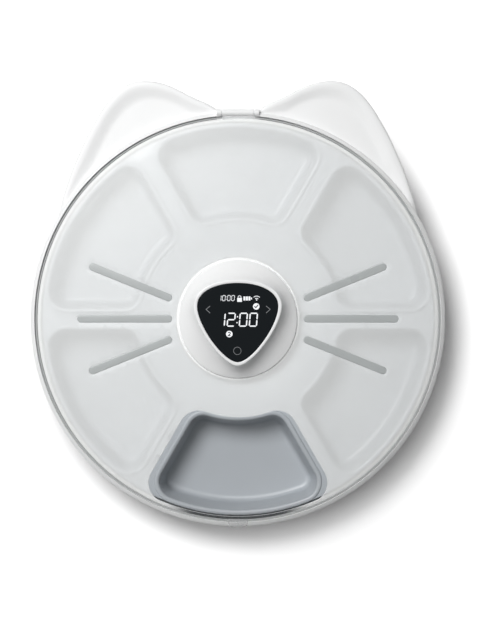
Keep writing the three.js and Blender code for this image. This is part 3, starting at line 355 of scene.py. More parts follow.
def bezier(points, steps):
    a, b, c, d = (Vector(p) for p in points)
    found = []
    for i in range(steps):
        t = i / steps
        u = 1 - t
        p = a * u ** 3 + b * 3 * u * u * t + c * 3 * u * t * t + d * t ** 3
        found.append((p.x, p.y))
    return found


def nose(grow=0.0):
    """Outline of the display, its point towards -Y, grown outwards all round."""
    wide, top, bottom = NOSE_HALF + grow, NOSE_TOP + grow, NOSE_BOTTOM + grow
    top_x, top_y, side_y = NOSE_TOP_SHARES
    drop_share, foot_share = NOSE_SIDE_SHARES
    shoulder = NOSE_WIDEST + side_y * (top - NOSE_WIDEST)
    drop = NOSE_WIDEST - drop_share * NOSE_WIDEST
    left = [(0, top), (-top_x * wide, top_y * top), (-wide, shoulder), (-wide, NOSE_WIDEST)]
    left_foot = [(-wide, NOSE_WIDEST), (-wide, drop), (-foot_share * wide, -bottom), (0, -bottom)]
    mirrored = [[(-x, y) for x, y in reversed(part)] for part in (left_foot, left)]
    return [p for part in (left, left_foot, *mirrored) for p in bezier(part, 3 * CURVE_STEPS)]


def hub_ring(radius, height, share=0, grow=0):
    """Loop between a circle (share 0) and the display's grown outline (share 1)."""
    points = []
    for x, y in nose(grow):
        scale = (1 - share) * radius / math.hypot(x, y) + share
        points.append((x * scale, y * scale, height))
    return points


# Meshes

def at_height(points, height):
    return [(x, y, height) for x, y in points]


class Build:
    """Vertices and faces of one mesh, collected loop by loop."""

    def __init__(self):
        self.verts = []
        self.faces = []

    def loop(self, points):
        self.verts += points
        return len(self.verts) - len(points)

    def stack(self, loops, closed=False):
        """Walls through loops of equally many points. Returns the first and the last loop,
        each as (where it starts, how many points)."""
        starts = [self.loop(points) for points in loops]
        pairs = list(zip(starts, starts[1:]))
        if closed:
            pairs.append((starts[-1], starts[0]))
        count = len(loops[0])
        for a, b in pairs:
            self.faces += [(a + i, a + (i + 1) % count, b + (i + 1) % count, b + i) for i in range(count)]
        return (starts[0], count), (starts[-1], count)

    def cap(self, start, count):
        self.faces.append(tuple(range(start, start + count)))

    def close(self, loops):
        """Walls through loops and a flat cap at both ends."""
        for end in self.stack(loops):
            self.cap(*end)

    def mesh(self, name):
        """Blender's mesh of it, moved to the tray's axis."""
        made = bpy.data.meshes.new(name)
        made.from_pydata([(x, y + AXIS_Y, z) for x, y, z in self.verts], [], self.faces)
        return made

    def fill(self, loops, height, grid=0.0, rings=()):
        """Triangles over the area inside the first loop and outside the others.
        Each loop is one that stack() returns; height gives z from x and y.
        A grid and rings about the axis add points, so that the area can curve."""
        flat, index, edges = [], [], []
        for start, count in loops:
            first = len(flat)
            flat += [self.verts[start + i][:2] for i in range(count)]
            index += range(start, start + count)
            edges += [(first + i, first + (i + 1) % count) for i in range(count)]
        outline = np.array(flat)
        if grid:
            inner = inner_points(outline, edges, grid, rings)
            index += [self.loop([(x, y, height(x, y))]) for x, y in inner]
            flat += [tuple(p) for p in inner]
        found = delaunay_2d_cdt([Vector(p) for p in flat], edges, [], 1, FILL_TOLERANCE)
        corners, faces, origins = found[0], found[2], found[3]
        names = []
        for corner, origin in zip(corners, origins):
            if origin:
                names.append(index[origin[0]])
            else:
                names.append(self.loop([(corner.x, corner.y, height(corner.x, corner.y))]))
        centres = np.array([sum((corners[i] for i in face), Vector((0, 0))) / 3 for face in faces])
        for face, keep in zip(faces, inside(centres, outline, edges)):
            if keep:
                self.faces.append(tuple(names[i] for i in face))


def inside(points, outline, edges):
    """Whether each point is inside an odd number of the loops."""
    odd = np.zeros(len(points), bool)
    x, y = points[:, 0], points[:, 1]
    for a, b in edges:
        (x0, y0), (x1, y1) = outline[a], outline[b]
        if y0 != y1:
            odd ^= ((y0 > y) != (y1 > y)) & (x < (x1 - x0) * (y - y0) / (y1 - y0) + x0)
    return odd


def inner_points(outline, edges, spacing, rings):
    """Points of an even grid, and of rings round it, that lie inside and off the outline."""
    low, high = outline.min(0), outline.max(0)
    rows = np.arange(low[1] + spacing / 2, high[1], spacing * math.sqrt(3) / 2)
    points = np.array([
        (x + (spacing / 2 if i % 2 else 0), y)
        for i, y in enumerate(rows)
        for x in np.arange(low[0] + spacing / 2, high[0], spacing)
    ])
    if rings:
        points = points[np.hypot(*points.T) < min(rings) - spacing * RING_CLEARANCE]
    found = [points_off(points, outline, edges, spacing * GRID_CLEARANCE)]
    for radius in rings:
        found.append(points_off(np.array(circle(radius)), outline, edges, spacing * RING_CLEARANCE))
    return np.concatenate(found)


def points_off(points, outline, edges, clearance):
    """The points that lie inside the outline and clear of it."""
    points = points[inside(points, outline, edges)]
    gaps = np.array([np.min(np.hypot(*(outline - p).T)) for p in points])
    return points[gaps > clearance]


def placed(name, data):
    """New object in the scene."""
    made = bpy.data.objects.new(name, data)
    bpy.context.scene.collection.objects.link(made)
    return made


def piece(name, build, material, body, replaces=(), tidy=True):
    """Makes the object of a finished mesh, on its body, in place of its CAD nodes."""
    mesh = build.mesh(name)
    bm = bmesh.new()
    bm.from_mesh(mesh)
    if tidy:
        bmesh.ops.remove_doubles(bm, verts=bm.verts, dist=SAME_POINT)
        bmesh.ops.dissolve_degenerate(bm, dist=SAME_POINT, edges=bm.edges)
    loose = [v for v in bm.verts if not v.link_faces]
    bmesh.ops.delete(bm, geom=loose, context="VERTS")
    bmesh.ops.recalc_face_normals(bm, faces=bm.faces)
    bm.to_mesh(mesh)
    bm.free()
    mesh.shade_smooth()
    mesh.set_sharp_from_angle(angle=SHARP_ANGLE)
    mesh.materials.append(material)
    made = placed(name, mesh)
    made.visible_shadow = body != "lid"
    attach(made, body)
    if replaces:
        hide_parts(*replaces)
    return made


def cut_away(made, build):
    """Takes the solid of a build out of a finished piece."""
    cutter_mesh = build.mesh("cutter")
    cutter = placed("cutter", cutter_mesh)
    cut = made.modifiers.new("cut", "BOOLEAN")
    cut.operation = "DIFFERENCE"
    cut.solver = "EXACT"
    cut.object = cutter
    graph = bpy.context.evaluated_depsgraph_get()
    found = bpy.data.meshes.new_from_object(made.evaluated_get(graph))
    made.modifiers.clear()
    made.data = found
    found.set_sharp_from_angle(angle=SHARP_ANGLE)
    bpy.data.objects.remove(cutter)
    bpy.data.meshes.remove(cutter_mesh)


def ringed(loops):
    """Solid through loops, the last one joined to the first."""
    build = Build()
    build.stack(loops, closed=True)
    return build


def capped(loops):
    """Closed solid through loops, flat at both ends."""
    build = Build()
    build.close(loops)
    return build


def drawn_in(loop):
    """The same flat loop, a little smaller about its middle, which keeps a flat end flat."""
    points = np.array(loop)
    middle = points.mean(axis=0)
    return [tuple(p) for p in middle + (points - middle) * FLAT_END_SHARE]


# Materials

LID_COLOR = (0.858, 0.866, 0.86)
LID_ALPHA = 0.42
LID_EDGE_ALPHA = 0.8
EDGE_ZONE = (0.1548, 0.159)
# Painted shade: dark colour of the strip in front of the window, standing in for the shadowed groove below it
BRIDGE_SHADE_COLOR = (0.05, 0.055, 0.06)
BRIDGE_ALPHA = 0.7
BRIDGE_ZONE = (0.034, 0.06)
BRIDGE_GLOSS = 0.08
LID_GLOSS = (0.36, 0.45)

# Noise as (scale, detail)
CLOUDS = (18, 3)
GLOSS_SPOTS = (60, 4)

# Finishes; the spans of gloss are shares of a material's roughness
CLOUD_SPREAD = 0.012
GLOSS_SPAN = (0.9, 1.12)
GRAIN_SCALE = 1800.0
GRAIN_DEPTH = 0.01 * MM
GRAIN_STRENGTH = 0.6
FINE_GRAIN = 0.004 * MM
BRUSH_SCALE = (40, 900, 900)
BRUSH_SPREAD = 0.06
BRUSH_SPAN = (0.8, 1.3)
BRUSH_STRENGTH = 0.4

# Circuit board and lit signs
TRACE_SCALE = 420.0
TRACE_EDGE = (0.02, 0.06)
TRACE_COLOR = (0.02, 0.09, 0.045)
TRACE_STRENGTH = 0.5
MASK_COLOR = (0.014, 0.16, 0.07)
MASK_SCALE = 200
MASK_GLOSS = (0.35, 0.5)
SIGN_SCALE = 900
SIGN_GLOW = (0.94, 1.0)
SIGN_DIM = 0.8
SIGN_BODY = (0.02, 0.02, 0.02, 1)


class Nodes:
    """Short names for building the nodes of a material or of the world."""

    def __init__(self, owner):
        owner.use_nodes = True
        self.nodes = owner.node_tree.nodes
        self.links = owner.node_tree.links

    def node(self, kind, *values, **settings):
        """A node whose first inputs take the given outputs."""
        made = self.nodes.new(kind)
        for key, setting in settings.items():
            if hasattr(made, key):
                setattr(made, key, setting)
            else:
                made.inputs[key.replace("_", " ")].default_value = setting
        for value, socket in zip(values, made.inputs):
            self.links.new(value, socket)
        return made

    def math(self, operation, *values):
        return self.node("ShaderNodeMath", *values, operation=operation).outputs[0]

    def looked_at(self):
        """1 for rays from the camera, off a glossy surface or through a clear one, otherwise 0."""
        path = self.node("ShaderNodeLightPath")
        seen = self.math("MAXIMUM", path.outputs["Is Camera Ray"], path.outputs["Is Glossy Ray"])
        return self.math("MAXIMUM", seen, path.outputs["Is Transmission Ray"])


class Shader(Nodes):
    """One material's nodes about its main shader."""

    def __init__(self, name):
        self.material = bpy.data.materials.new(name)
        super().__init__(self.material)
        self.shader = self.nodes["Principled BSDF"]
        self.place = self.nodes.new("ShaderNodeTexCoord").outputs["Object"]

    def set(self, **values):
        for key, value in values.items():
            self.shader.inputs[key.replace("_", " ")].default_value = value

    def noise(self, scale, detail=2.0, place=None):
        made = self.node("ShaderNodeTexNoise", place or self.place, Scale=scale, Detail=detail)
        return made.outputs["Fac"]

    def span(self, value, low, high, start=0.3, end=0.7, kind="LINEAR"):
        """Maps a texture's value to the range low to high."""
        made = self.node("ShaderNodeMapRange", value, From_Min=start, From_Max=end, To_Min=low, To_Max=high)
        made.interpolation_type = kind
        return made.outputs["Result"]

    def length(self, value):
        return self.node("ShaderNodeVectorMath", value, operation="LENGTH").outputs["Value"]

    def mix(self, factor, first, second):
        made = self.node("ShaderNodeMix", factor, data_type="RGBA", A=(*first, 1), B=(*second, 1))
        return made.outputs["Result"]

    def link(self, value, socket):
        self.links.new(value, self.shader.inputs[socket])

    def bump(self, height, distance, strength=GRAIN_STRENGTH):
        made = self.node("ShaderNodeBump", Strength=strength, Distance=distance)
        self.links.new(height, made.inputs["Height"])
        self.link(made.outputs["Normal"], "Normal")

    def clouded(self, color, spread):
        return self.mix(self.span(self.noise(*CLOUDS), 0, 1), *shades(color, spread))

    def finish(self, low, high, grain, depth):
        """Gloss that wanders between two roughnesses, and a fine grain."""
        self.link(self.span(self.noise(*GLOSS_SPOTS), low, high), "Roughness")
        self.bump(self.noise(grain), depth)


def shades(color, spread):
    """A colour a little darker and a little lighter than the given one."""
    return tuple(c * (1 - spread) for c in color), tuple(min(1, c * (1 + spread)) for c in color)


def moulded(name, color, roughness, grain=GRAIN_SCALE, depth=GRAIN_DEPTH, spread=CLOUD_SPREAD, **sockets):
    """Moulded plastic or rubber: faint cloudiness, a fine grain and uneven gloss."""
    shader = Shader(name)
    shader.link(shader.clouded(color, spread), "Base Color")
    shader.finish(*(roughness * share for share in GLOSS_SPAN), grain, depth)
    shader.set(**sockets)
    return shader.material


def milky(name, bridge=False):
    """Clear plastic that turns whiter towards the lid's edge, or dark in front of the window, where the strip's
    colour is painted shade.
    """
    shader = Shader(name)
    radial = shader.node("ShaderNodeVectorMath", shader.place, operation="MULTIPLY_ADD")
    radial.inputs[1].default_value = (1, 1, 0)
    radial.inputs[2].default_value = (0, -AXIS_Y, 0)
    edge = shader.span(shader.length(radial.outputs["Vector"]), 0, 1, *EDGE_ZONE, "SMOOTHSTEP")
    color = shader.clouded(LID_COLOR, CLOUD_SPREAD)
    alpha = shader.span(edge, LID_ALPHA, LID_EDGE_ALPHA, 0, 1)
    # Painted shade: near the middle of the front the strip turns dark
    if bridge:
        split = shader.node("ShaderNodeSeparateXYZ", shader.place)
        aside = shader.math("ABSOLUTE", split.outputs["X"])
        clear = shader.span(aside, 0, 1, *BRIDGE_ZONE, "SMOOTHSTEP")
        color = shader.mix(clear, BRIDGE_SHADE_COLOR, LID_COLOR)
        alpha = shader.span(clear, BRIDGE_ALPHA, LID_EDGE_ALPHA, 0, 1)
        shader.set(Specular_IOR_Level=BRIDGE_GLOSS)
    shader.link(color, "Base Color")
    shader.link(alpha, "Alpha")
    shader.finish(*LID_GLOSS, GRAIN_SCALE, FINE_GRAIN)
    return shader.material


def brushed(name, color, roughness):
    """Plated or rolled metal with fine lines along one direction."""
    shader = Shader(name)
    stretch = shader.node("ShaderNodeMapping", shader.place, Scale=BRUSH_SCALE)
    lines = shader.noise(1.0, 3.0, stretch.outputs["Vector"])
    shader.link(shader.mix(shader.span(lines, 0, 1), *shades(color, BRUSH_SPREAD)), "Base Color")
    shader.link(shader.span(lines, *(roughness * share for share in BRUSH_SPAN)), "Roughness")
    shader.bump(lines, GRAIN_DEPTH, BRUSH_STRENGTH)
    shader.set(Metallic=1.0)
    return shader.material


def circuit_board(name):
    """Solder mask with darker traces."""
    shader = Shader(name)
    cells = shader.node("ShaderNodeTexVoronoi", shader.place, Scale=TRACE_SCALE, feature="DISTANCE_TO_EDGE")
    mask = shader.span(cells.outputs["Distance"], 0, 1, *TRACE_EDGE)
    shader.link(shader.mix(mask, TRACE_COLOR, MASK_COLOR), "Base Color")
    shader.link(shader.span(shader.noise(MASK_SCALE), *MASK_GLOSS), "Roughness")
    shader.bump(mask, 3 * GRAIN_DEPTH, TRACE_STRENGTH)
    return shader.material


def glowing(name, color, strength):
    """Lit sign behind the lens, a little uneven as a light guide is."""
    shader = Shader(name)
    glow = shader.span(shader.noise(SIGN_SCALE), *SIGN_GLOW)
    shader.link(shader.mix(glow, tuple(c * SIGN_DIM for c in color), color), "Emission Color")
    shader.set(Base_Color=SIGN_BODY, Roughness=0.4, Emission_Strength=strength)
    return shader.material


white = moulded("white_plastic", (0.87, 0.875, 0.875), 0.38)
grey = moulded("tray_plastic", (0.40, 0.425, 0.45), 0.36, spread=0.02)
lid_clear = milky("milky_lid")
tab_clear = moulded("clear_tab", (0.4, 0.405, 0.41), 0.4, depth=FINE_GRAIN, Alpha=0.3, Specular_IOR_Level=0.1)
knuckle_white = moulded("knuckle_white", (0.86, 0.865, 0.865), 0.38)
# Dark strip in front of the window: painted shade
bridge_shade_material = milky("smoked_bridge", bridge=True)
strip_clear = moulded("clear_strip", (0.62, 0.63, 0.635), 0.4, depth=FINE_GRAIN, Alpha=0.3)
whisker_grey = moulded("grey_inlay", (0.41, 0.43, 0.43), 0.3, Alpha=0.8)
seal_grey = moulded("seal_rubber", (0.46, 0.47, 0.47), 0.62)
foot_black = moulded("foot_rubber", (0.03, 0.03, 0.032), 0.75, grain=900)
lens_black = moulded("smoked_lens", (0.0085, 0.011, 0.013), 0.1, depth=0.001 * MM, Specular_IOR_Level=0.05)
deck_black = moulded("black_plastic", (0.02, 0.021, 0.023), 0.55)
gear_white = moulded("gear_plastic", (0.8, 0.78, 0.7), 0.42)
cell_blue = moulded("cell_wrap", (0.02, 0.12, 0.42), 0.3)
pack_blue = moulded("gel_pack", (0.2, 0.46, 0.7), 0.25)
lead_black = moulded("lead_jacket", (0.012, 0.012, 0.013), 0.5)
steel = brushed("plated_steel", (0.6, 0.61, 0.62), 0.3)
board = circuit_board("circuit_board")
lit_white = glowing("lit_signs", (0.95, 0.97, 1.0), 0.95)
lit_grey = glowing("lit_keys", (0.6, 0.63, 0.66), 0.24)


# Base shell with its ears

def ear_profile(reach):
    """From the outer wall over the ear's edge and dish to the rim's wall."""
    width = reach - BASE_RADIUS
    share = eased(width / EAR_BLEND)
    rounding = min(EAR_ROUND, EAR_ROUND_SHARE * width)
    depth = EAR_DISH * min(width / EAR_WIDE, 1.0)
    border = rounding + min(EAR_BORDER, EAR_BORDER_SHARE * width)
    slope = min(EAR_SLOPE, EAR_SLOPE_SHARE * width)
    edge = quarter(EAR_EDGE_STEPS)
    points = [(reach - rounding * inward, EAR_TOP - rounding * down) for inward, down in edge]
    for i in range(1, DISH_STEPS + 1):
        inward = rounding + (width - rounding) * i / DISH_STEPS
        dished = eased((inward - border) / slope) if slope else 0.0
        points.append((reach - inward, EAR_TOP - depth * dished))
    wall_low = EAR_TOP - EAR_ROUND
    step = (RIM_TOP - RIM_FALL - wall_low) / len(points)
    return [
        (radius, height * share + (wall_low + step * i) * (1 - share))
        for i, (radius, height) in enumerate(points)
    ]


def shell_profile(reach):
    """Closed cross-section of the base in one direction, as (radius, height)."""
    inner_skin = reach - SHELL_WALL
    foot = reach - UNDERSIDE_INSET
    heel = COVER_UNDER + HEEL_HEIGHT
    middle = (COVER_UNDER + EAR_TOP) / 2
    ear_under = EAR_TOP - EAR_DISH - SHELL_WALL
    rim_width = BASE_RADIUS - RIM_INNER
    fillet = quarter(FILLET_STEPS)
    return [
        (inner_skin - UNDERSIDE_INSET, COVER_UNDER),
        (foot - 4 * EDGE, COVER_UNDER),
        (foot + 2 * EDGE, COVER_UNDER + 4 * EDGE),
        (reach - HEEL_INSET, heel),
        (reach - HEEL_INSET + 4 * EDGE, heel + SHELL_RUN),
        (reach - FLANK_INSET, middle),
        (reach, EAR_TOP - EAR_ROUND - SHELL_RUN),
        *ear_profile(reach),
        *((BASE_RADIUS - rim_width * inward, RIM_TOP - RIM_FALL * (1 - up)) for inward, up in RIM_SLOPE),
        *((RIM_INNER + EDGE * out, RIM_TOP - EDGE * down) for down, out in quarter(EDGE_STEPS)),
        (RIM_INNER, REBATE_Z + 4 * EDGE),
        (RIM_INNER - 4 * EDGE, REBATE_Z),
        (WELL_RADIUS + 5 * EDGE, REBATE_Z),
        (WELL_RADIUS, REBATE_Z - 5 * EDGE),
        *((WELL_RADIUS - WELL_FILLET * inward, WELL_FLOOR + WELL_FILLET * up) for inward, up in fillet),
        (FLOOR_HOLE, WELL_FLOOR),
        (FLOOR_HOLE, WELL_UNDER),
        (WELL_RADIUS + SHELL_WALL, WELL_UNDER),
        (WELL_RADIUS + SHELL_WALL, ear_under),
        (inner_skin, ear_under),
        (inner_skin - FLANK_INSET, middle),
        (inner_skin - UNDERSIDE_INSET, WELL_UNDER),
    ]


def base_shell():
    notch = math.degrees(math.asin(LUG_INNER / RIM_INNER))
    turns = [i * 360 / TURN_STEPS for i in range(TURN_STEPS)]
    turns = [t for t in turns if abs(abs(t - 90) - notch) > NOTCH_CLEAR]
    turns += [90 + side * (notch + step * NOTCH_SLIVER) for side in (-1, 1) for step in (-1, 1)]
    turns.sort()
    rows = []
    for degrees in turns:
        limit = NOTCH_FLOOR if abs(degrees - 90) < notch else math.inf
        rows.append([
            (*polar(radius, math.radians(degrees)), min(height, limit))
            for radius, height in shell_profile(outline_radius(degrees))
        ])
    return ringed(rows)


def socket_mouth():
    """Block through the rear wall, a little larger than the power socket behind it."""
    half = SOCKET_HIGH.x + SOCKET_GAP
    low, high = SOCKET_LOW.z - SOCKET_GAP, SOCKET_HIGH.z + SOCKET_GAP
    return capped([
        [(-half, y, low), (half, y, low), (half, y, high), (-half, y, high)]
        for y in (WELL_RADIUS + 5 * EDGE, BASE_RADIUS + MOUTH_REACH)
    ])


def hinge_lugs():
    """Two round lugs beside the lid's knuckle, each on a foot that meets the base."""
    build = Build()
    low = EAR_TOP - LUG_FOOT
    for side in (-1, 1):
        loops = []
        for x, shrink in bevelled(LUG_INNER, LUG_OUTER, 3 * EDGE):
            rear, front = HINGE_Y + KNUCKLE_RADIUS - shrink, HINGE_Y - KNUCKLE_RADIUS + shrink
            outline = arc(HINGE_Y, HINGE_Z, KNUCKLE_RADIUS - shrink, 0, math.pi, HINGE_STEPS)
            outline += [(front, HINGE_Z), (front, low), (rear, low)]
            loops.append([(side * x, y, z) for y, z in outline])
        build.close(loops)
    return build


# Tray

def tray_piece():
    build = Build()
    deck_loops, under_loops = [], []
    profile = [(out * MM, DECK_TOP + up * MM) for out, up in LIP_PROFILE + WALL_PROFILE]
    under = [(-TRAY_WALL - UNDER_EDGE, DECK_UNDER), (-TRAY_WALL, DECK_UNDER - UNDER_EDGE)]
    under += [(out - TRAY_WALL, POCKET_FLOOR + up - TRAY_WALL) for out, up in mm(UNDER_PROFILE)]
    for i in range(POCKETS):
        turn = math.pi / 2 + 2 * math.pi * i / POCKETS
        for shape, found in ((profile, deck_loops), (under, under_loops)):
            loops = [at_height(turned_points(compartment(POCKET, out), turn), z) for out, z in shape]
            loops.append(drawn_in(loops[-1]))
            mouth, floor = build.stack(loops)
            build.cap(*floor)
            found.append(mouth)
    rim_top, rim_under = build.stack([
        at_height(circle(TRAY_RADIUS - inset), z) for inset, z in (
            (3 * EDGE, DECK_TOP), (EDGE, DECK_TOP - EDGE), (0, DECK_TOP - 3 * EDGE), (0, TRAY_SKIRT),
            (TRAY_SKIRT_WALL, TRAY_SKIRT), (TRAY_SKIRT_WALL, DECK_UNDER),
        )
    ])
    hole_top, hole_under = build.stack([
        at_height(circle(TRAY_HOLE + out), z) for out, z in (
            (7 * EDGE, DECK_TOP), (2 * EDGE, DECK_TOP - 2 * EDGE), (0, DECK_TOP - 7 * EDGE), (0, DECK_UNDER),
        )
    ])
    build.fill([rim_top, hole_top, *deck_loops], lambda x, y: DECK_TOP)
    build.fill([rim_under, hole_under, *under_loops], lambda x, y: DECK_UNDER)
    return build


# Lid

def lid_crown(x, y):
    share = max((math.hypot(x, y) - LID_HOLE) / (LID_RADIUS - LID_HOLE), 0.0)
    return LID_EDGE_TOP + LID_RISE * (1 - share * share)


def lid_top(x, y):
    """The crown, falling softly over a shoulder beside the edge."""
    share = max((math.hypot(x, y) - LID_RADIUS + LID_SHOULDER) / LID_SHOULDER, 0.0)
    return lid_crown(x, y) - LID_FALL * share * share


def lid_under(x, y):
    return lid_crown(x, y) - LID_THICKNESS


def below_lid(points, drop):
    """Loop that follows the lid's surface at a depth."""
    return [(x, y, lid_top(x, y) - drop) for x, y in points]


def lid_edge(draw):
    """Wall of the lid along one edge: draw gives the outline a distance into the material."""
    edge = quarter(EDGE_STEPS)
    loops = [below_lid(draw(LID_ROUND * inset), LID_ROUND * drop) for drop, inset in edge]
    for inset, rise in edge:
        outline = draw(LID_ROUND * inset)
        loops.append([(x, y, lid_under(x, y) + LID_ROUND * rise) for x, y in outline])
    return loops


def whisker_places():
    for side, hand in ((-1, "left"), (1, "right")):
        for row, y0, x1, y1 in WHISKERS:
            yield f"whisker_{hand}_{row}", *mm([(side * WHISKER_START, y0), (side * x1, y1)])


def lid_panel():
    build = Build()
    front = -math.pi / 2
    edges = [build.stack(lid_edge(draw)) for draw in (
        lambda inset: circle(LID_RADIUS - inset),
        lambda inset: circle(LID_HOLE + inset),
        lambda inset: turned_points(compartment(WINDOW, -inset), front),
    )]
    top, under = map(list, zip(*edges))
    depth = WHISKER_DEPTH + WHISKER_GAP
    for name, inner, outer in whisker_places():
        mouth, floor = build.stack([
            below_lid(capsule(inner, outer, WHISKER_HALF + WHISKER_GAP + grow), drop)
            for grow, drop in ((3 * EDGE, 0), (EDGE, EDGE), (0, 3 * EDGE), (0, depth))
        ])
        top.append(mouth)
        build.fill([floor], lambda x, y: lid_top(x, y) - depth)
    build.fill(top, lid_top, GRID, [LID_RADIUS - inset for inset in SHOULDER_RINGS])
    build.fill(under, lid_under, GRID)
    return build


def smoked_bridge(lid):
    """Gives the thin strip in front of the window its own dark material, whose colour is painted shade."""
    lid.data.materials.append(bridge_shade_material)
    reach = WINDOW["outer"] - BRIDGE_OVERLAP
    for face in lid.data.polygons:
        x, y, z = face.center
        if math.hypot(x, y - AXIS_Y) > reach and abs(x) < BRIDGE_HALF and y < AXIS_Y:
            face.material_index = 1


def whisker(inner, outer):
    """Bar with softly rounded top edges that follows the lid's crown."""
    build = Build()
    floor, crown = build.stack([
        below_lid(capsule(inner, outer, WHISKER_HALF - shrink), drop)
        for shrink, drop in [(0, WHISKER_DEPTH), *mm(WHISKER_EDGE)]
    ])
    build.fill([floor], lambda x, y: lid_top(x, y) - WHISKER_DEPTH)
    build.fill([crown], lid_top)
    return build


def lid_tab():
    """Finger tab that reaches over the rim, with a rounded front."""
    half, root = TAB_WIDTH / 2, TAB_ROOT - LID_RADIUS
    top = TAB_UNDER + TAB_THICKNESS

    def outline(shrink):
        x, y, r = half - shrink, -TAB_END + shrink, TAB_CORNER
        return [
            *arc(x - r, y + r, r, 0, -math.pi / 2, CORNER_STEPS),
            *arc(-x + r, y + r, r, -math.pi / 2, -math.pi, CORNER_STEPS),
            (-x, y + r), (-x, root - shrink), (x, root - shrink),
        ]

    return capped([at_height(outline(shrink), z) for shrink, z in (
        (4 * EDGE, TAB_UNDER), (0, TAB_UNDER + 4 * EDGE), (0, top - 6 * EDGE), (2 * EDGE, top - 2 * EDGE),
        (6 * EDGE, top),
    )])


def across_bar(radius, half, bevel, bore=0.0):
    """Round bar along the hinge's axis, or a tube if it has a bore."""
    rings = [(x, radius - shrink) for x, shrink in bevelled(-half, half, bevel)]
    if bore:
        rings += [(half, bore), (-half, bore)]
    loops = [[(x, y, z) for y, z in circle(reach, ROUND_STEPS, HINGE_Y, HINGE_Z)] for x, reach in rings]
    return ringed(loops) if bore else capped(loops)


def lid_tongue():
    """Flat strip between the lid's edge and its knuckle."""
    low, high = LID_EDGE_TOP - LID_THICKNESS + 3 * EDGE, LID_EDGE_TOP
    rear, front = HINGE_Y, LID_RADIUS - TONGUE_OVERLAP
    corners = [(-1, front), (1, front), (1, rear), (-1, rear)]
    return capped([
        [(side * (KNUCKLE_HALF - shrink), y, z) for side, y in corners]
        for z, shrink in bevelled(low, high, 4 * EDGE)
    ])


# Rim seal

def seal_arc(profile, start, end, count):
    """Closed profile swept about the axis between two angles."""
    angles = [start + (end - start) * i / count for i in range(count + 1)]
    return capped([[(*polar(radius, angle), height) for radius, height in profile] for angle in angles])


def rim_seal():
    """Ring beside the lid's edge that slopes down outwards, open at the hinge."""
    bead = SEAL_OUTER - SEAL_BEAD
    profile = [
        (SEAL_OUTER, SEAL_UNDER), (SEAL_OUTER, SEAL_EDGE_TOP - EDGE), (SEAL_OUTER - 2 * EDGE, SEAL_EDGE_TOP),
        (bead + 3 * EDGE, SEAL_TOP - EDGE), (bead + EDGE, SEAL_TOP), (bead, SEAL_TOP - 3 * EDGE),
        (bead, SEAL_UNDER + 10 * EDGE), (SEAL_INNER, SEAL_UNDER + 8 * EDGE), (SEAL_INNER, SEAL_UNDER),
    ]
    return seal_arc(profile, math.pi / 2 + SEAL_OPENING, math.pi * 5 / 2 - SEAL_OPENING, TURN_STEPS)


def low_seal():
    """Low part of the seal that passes in front of the hinge."""
    profile = [
        (SEAL_LOW_OUTER, SEAL_UNDER), (SEAL_LOW_OUTER, SEAL_LOW_TOP - 6 * EDGE),
        (SEAL_INNER + 10 * EDGE, SEAL_LOW_TOP), (SEAL_INNER, SEAL_LOW_TOP - 2 * EDGE),
        (SEAL_INNER, SEAL_UNDER),
    ]
    return seal_arc(profile, math.pi / 2 - SEAL_OPENING, math.pi / 2 + SEAL_OPENING, HINGE_STEPS)


# Hub and display

def hub_cover():
    platform = BEZEL_WIDTH - EDGE
    inner = HUB_RADIUS - HUB_WALL
    loops = [hub_ring(radius, height) for radius, height in (
        (COLLAR_RADIUS - 3 * EDGE, HUB_UNDER), (COLLAR_RADIUS, HUB_UNDER + 3 * EDGE),
        (COLLAR_RADIUS, COLLAR_TOP - 6 * EDGE), (COLLAR_RADIUS - 6 * EDGE, COLLAR_TOP),
        (HUB_RADIUS, COLLAR_TOP),
    )]
    for inset, down in quarter(EDGE_STEPS):
        loops.append(hub_ring(HUB_RADIUS - HUB_EDGE_ROUND * inset, CONE_BASE - HUB_EDGE_ROUND * down))
    for share, up in CONE_SHARES:
        loops.append(hub_ring(HUB_RADIUS - HUB_EDGE_ROUND, CONE_BASE + CONE_HEIGHT * up, share, platform))
    for share, up in reversed(CONE_SHARES):
        height = CONE_BASE - HUB_WALL + CONE_HEIGHT * up * CONE_INNER_SHARE
        loops.append(hub_ring(inner, height, share, platform))
    loops += [hub_ring(inner, CONE_BASE - HUB_WALL), hub_ring(inner, HUB_UNDER)]
    return ringed(loops)


def display_bezel():
    ledge = LENS_UNDER - 3 * EDGE
    profile = [
        (BEZEL_WIDTH, BEZEL_UNDER),
        *((BEZEL_WIDTH - inset, BEZEL_TOP - depth) for inset, depth in mm(BEZEL_OUTSIDE)),
        *((out, BEZEL_TOP - depth) for out, depth in mm(BEZEL_INSIDE)),
        (BEZEL_INSIDE[-1][0] * MM, LENS_UNDER), (-BEZEL_LEDGE, ledge), (-BEZEL_LEDGE, BEZEL_UNDER),
    ]
    return ringed([at_height(nose(grow), z) for grow, z in profile])


def display_lens():
    loops = [at_height(nose(grow), z) for grow, z in (
        (-3 * EDGE, LENS_UNDER), (0, LENS_UNDER + 3 * EDGE), (0, LENS_TOP - 3 * EDGE),
        (-EDGE, LENS_TOP - EDGE), (-3 * EDGE, LENS_TOP),
    )]
    return capped([*loops, drawn_in(loops[-1])])


# Column and feet

def column():
    return ringed([at_height(circle(radius), height) for radius, height in mm(COLUMN_PROFILE)])


def foot_pad(name):
    low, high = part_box(name)
    x, y = (low.x + high.x) / 2, (low.y + high.y) / 2 - AXIS_Y
    radius = (high.x - low.x) / 2
    profile = [(1, high.z / MM), *FOOT_PROFILE]
    return capped([at_height(circle(radius * share, ROUND_STEPS, x, y), z * MM) for share, z in profile])


# Lit signs on the display, drawn in millimetres as flat strips just over the lens

SIGN_THICK = 0.03 * MM
SIGN_Z = LENS_TOP + SIGN_THICK
DARK_LIFT = 2 * SIGN_THICK
MITRE_LIMIT = 0.3

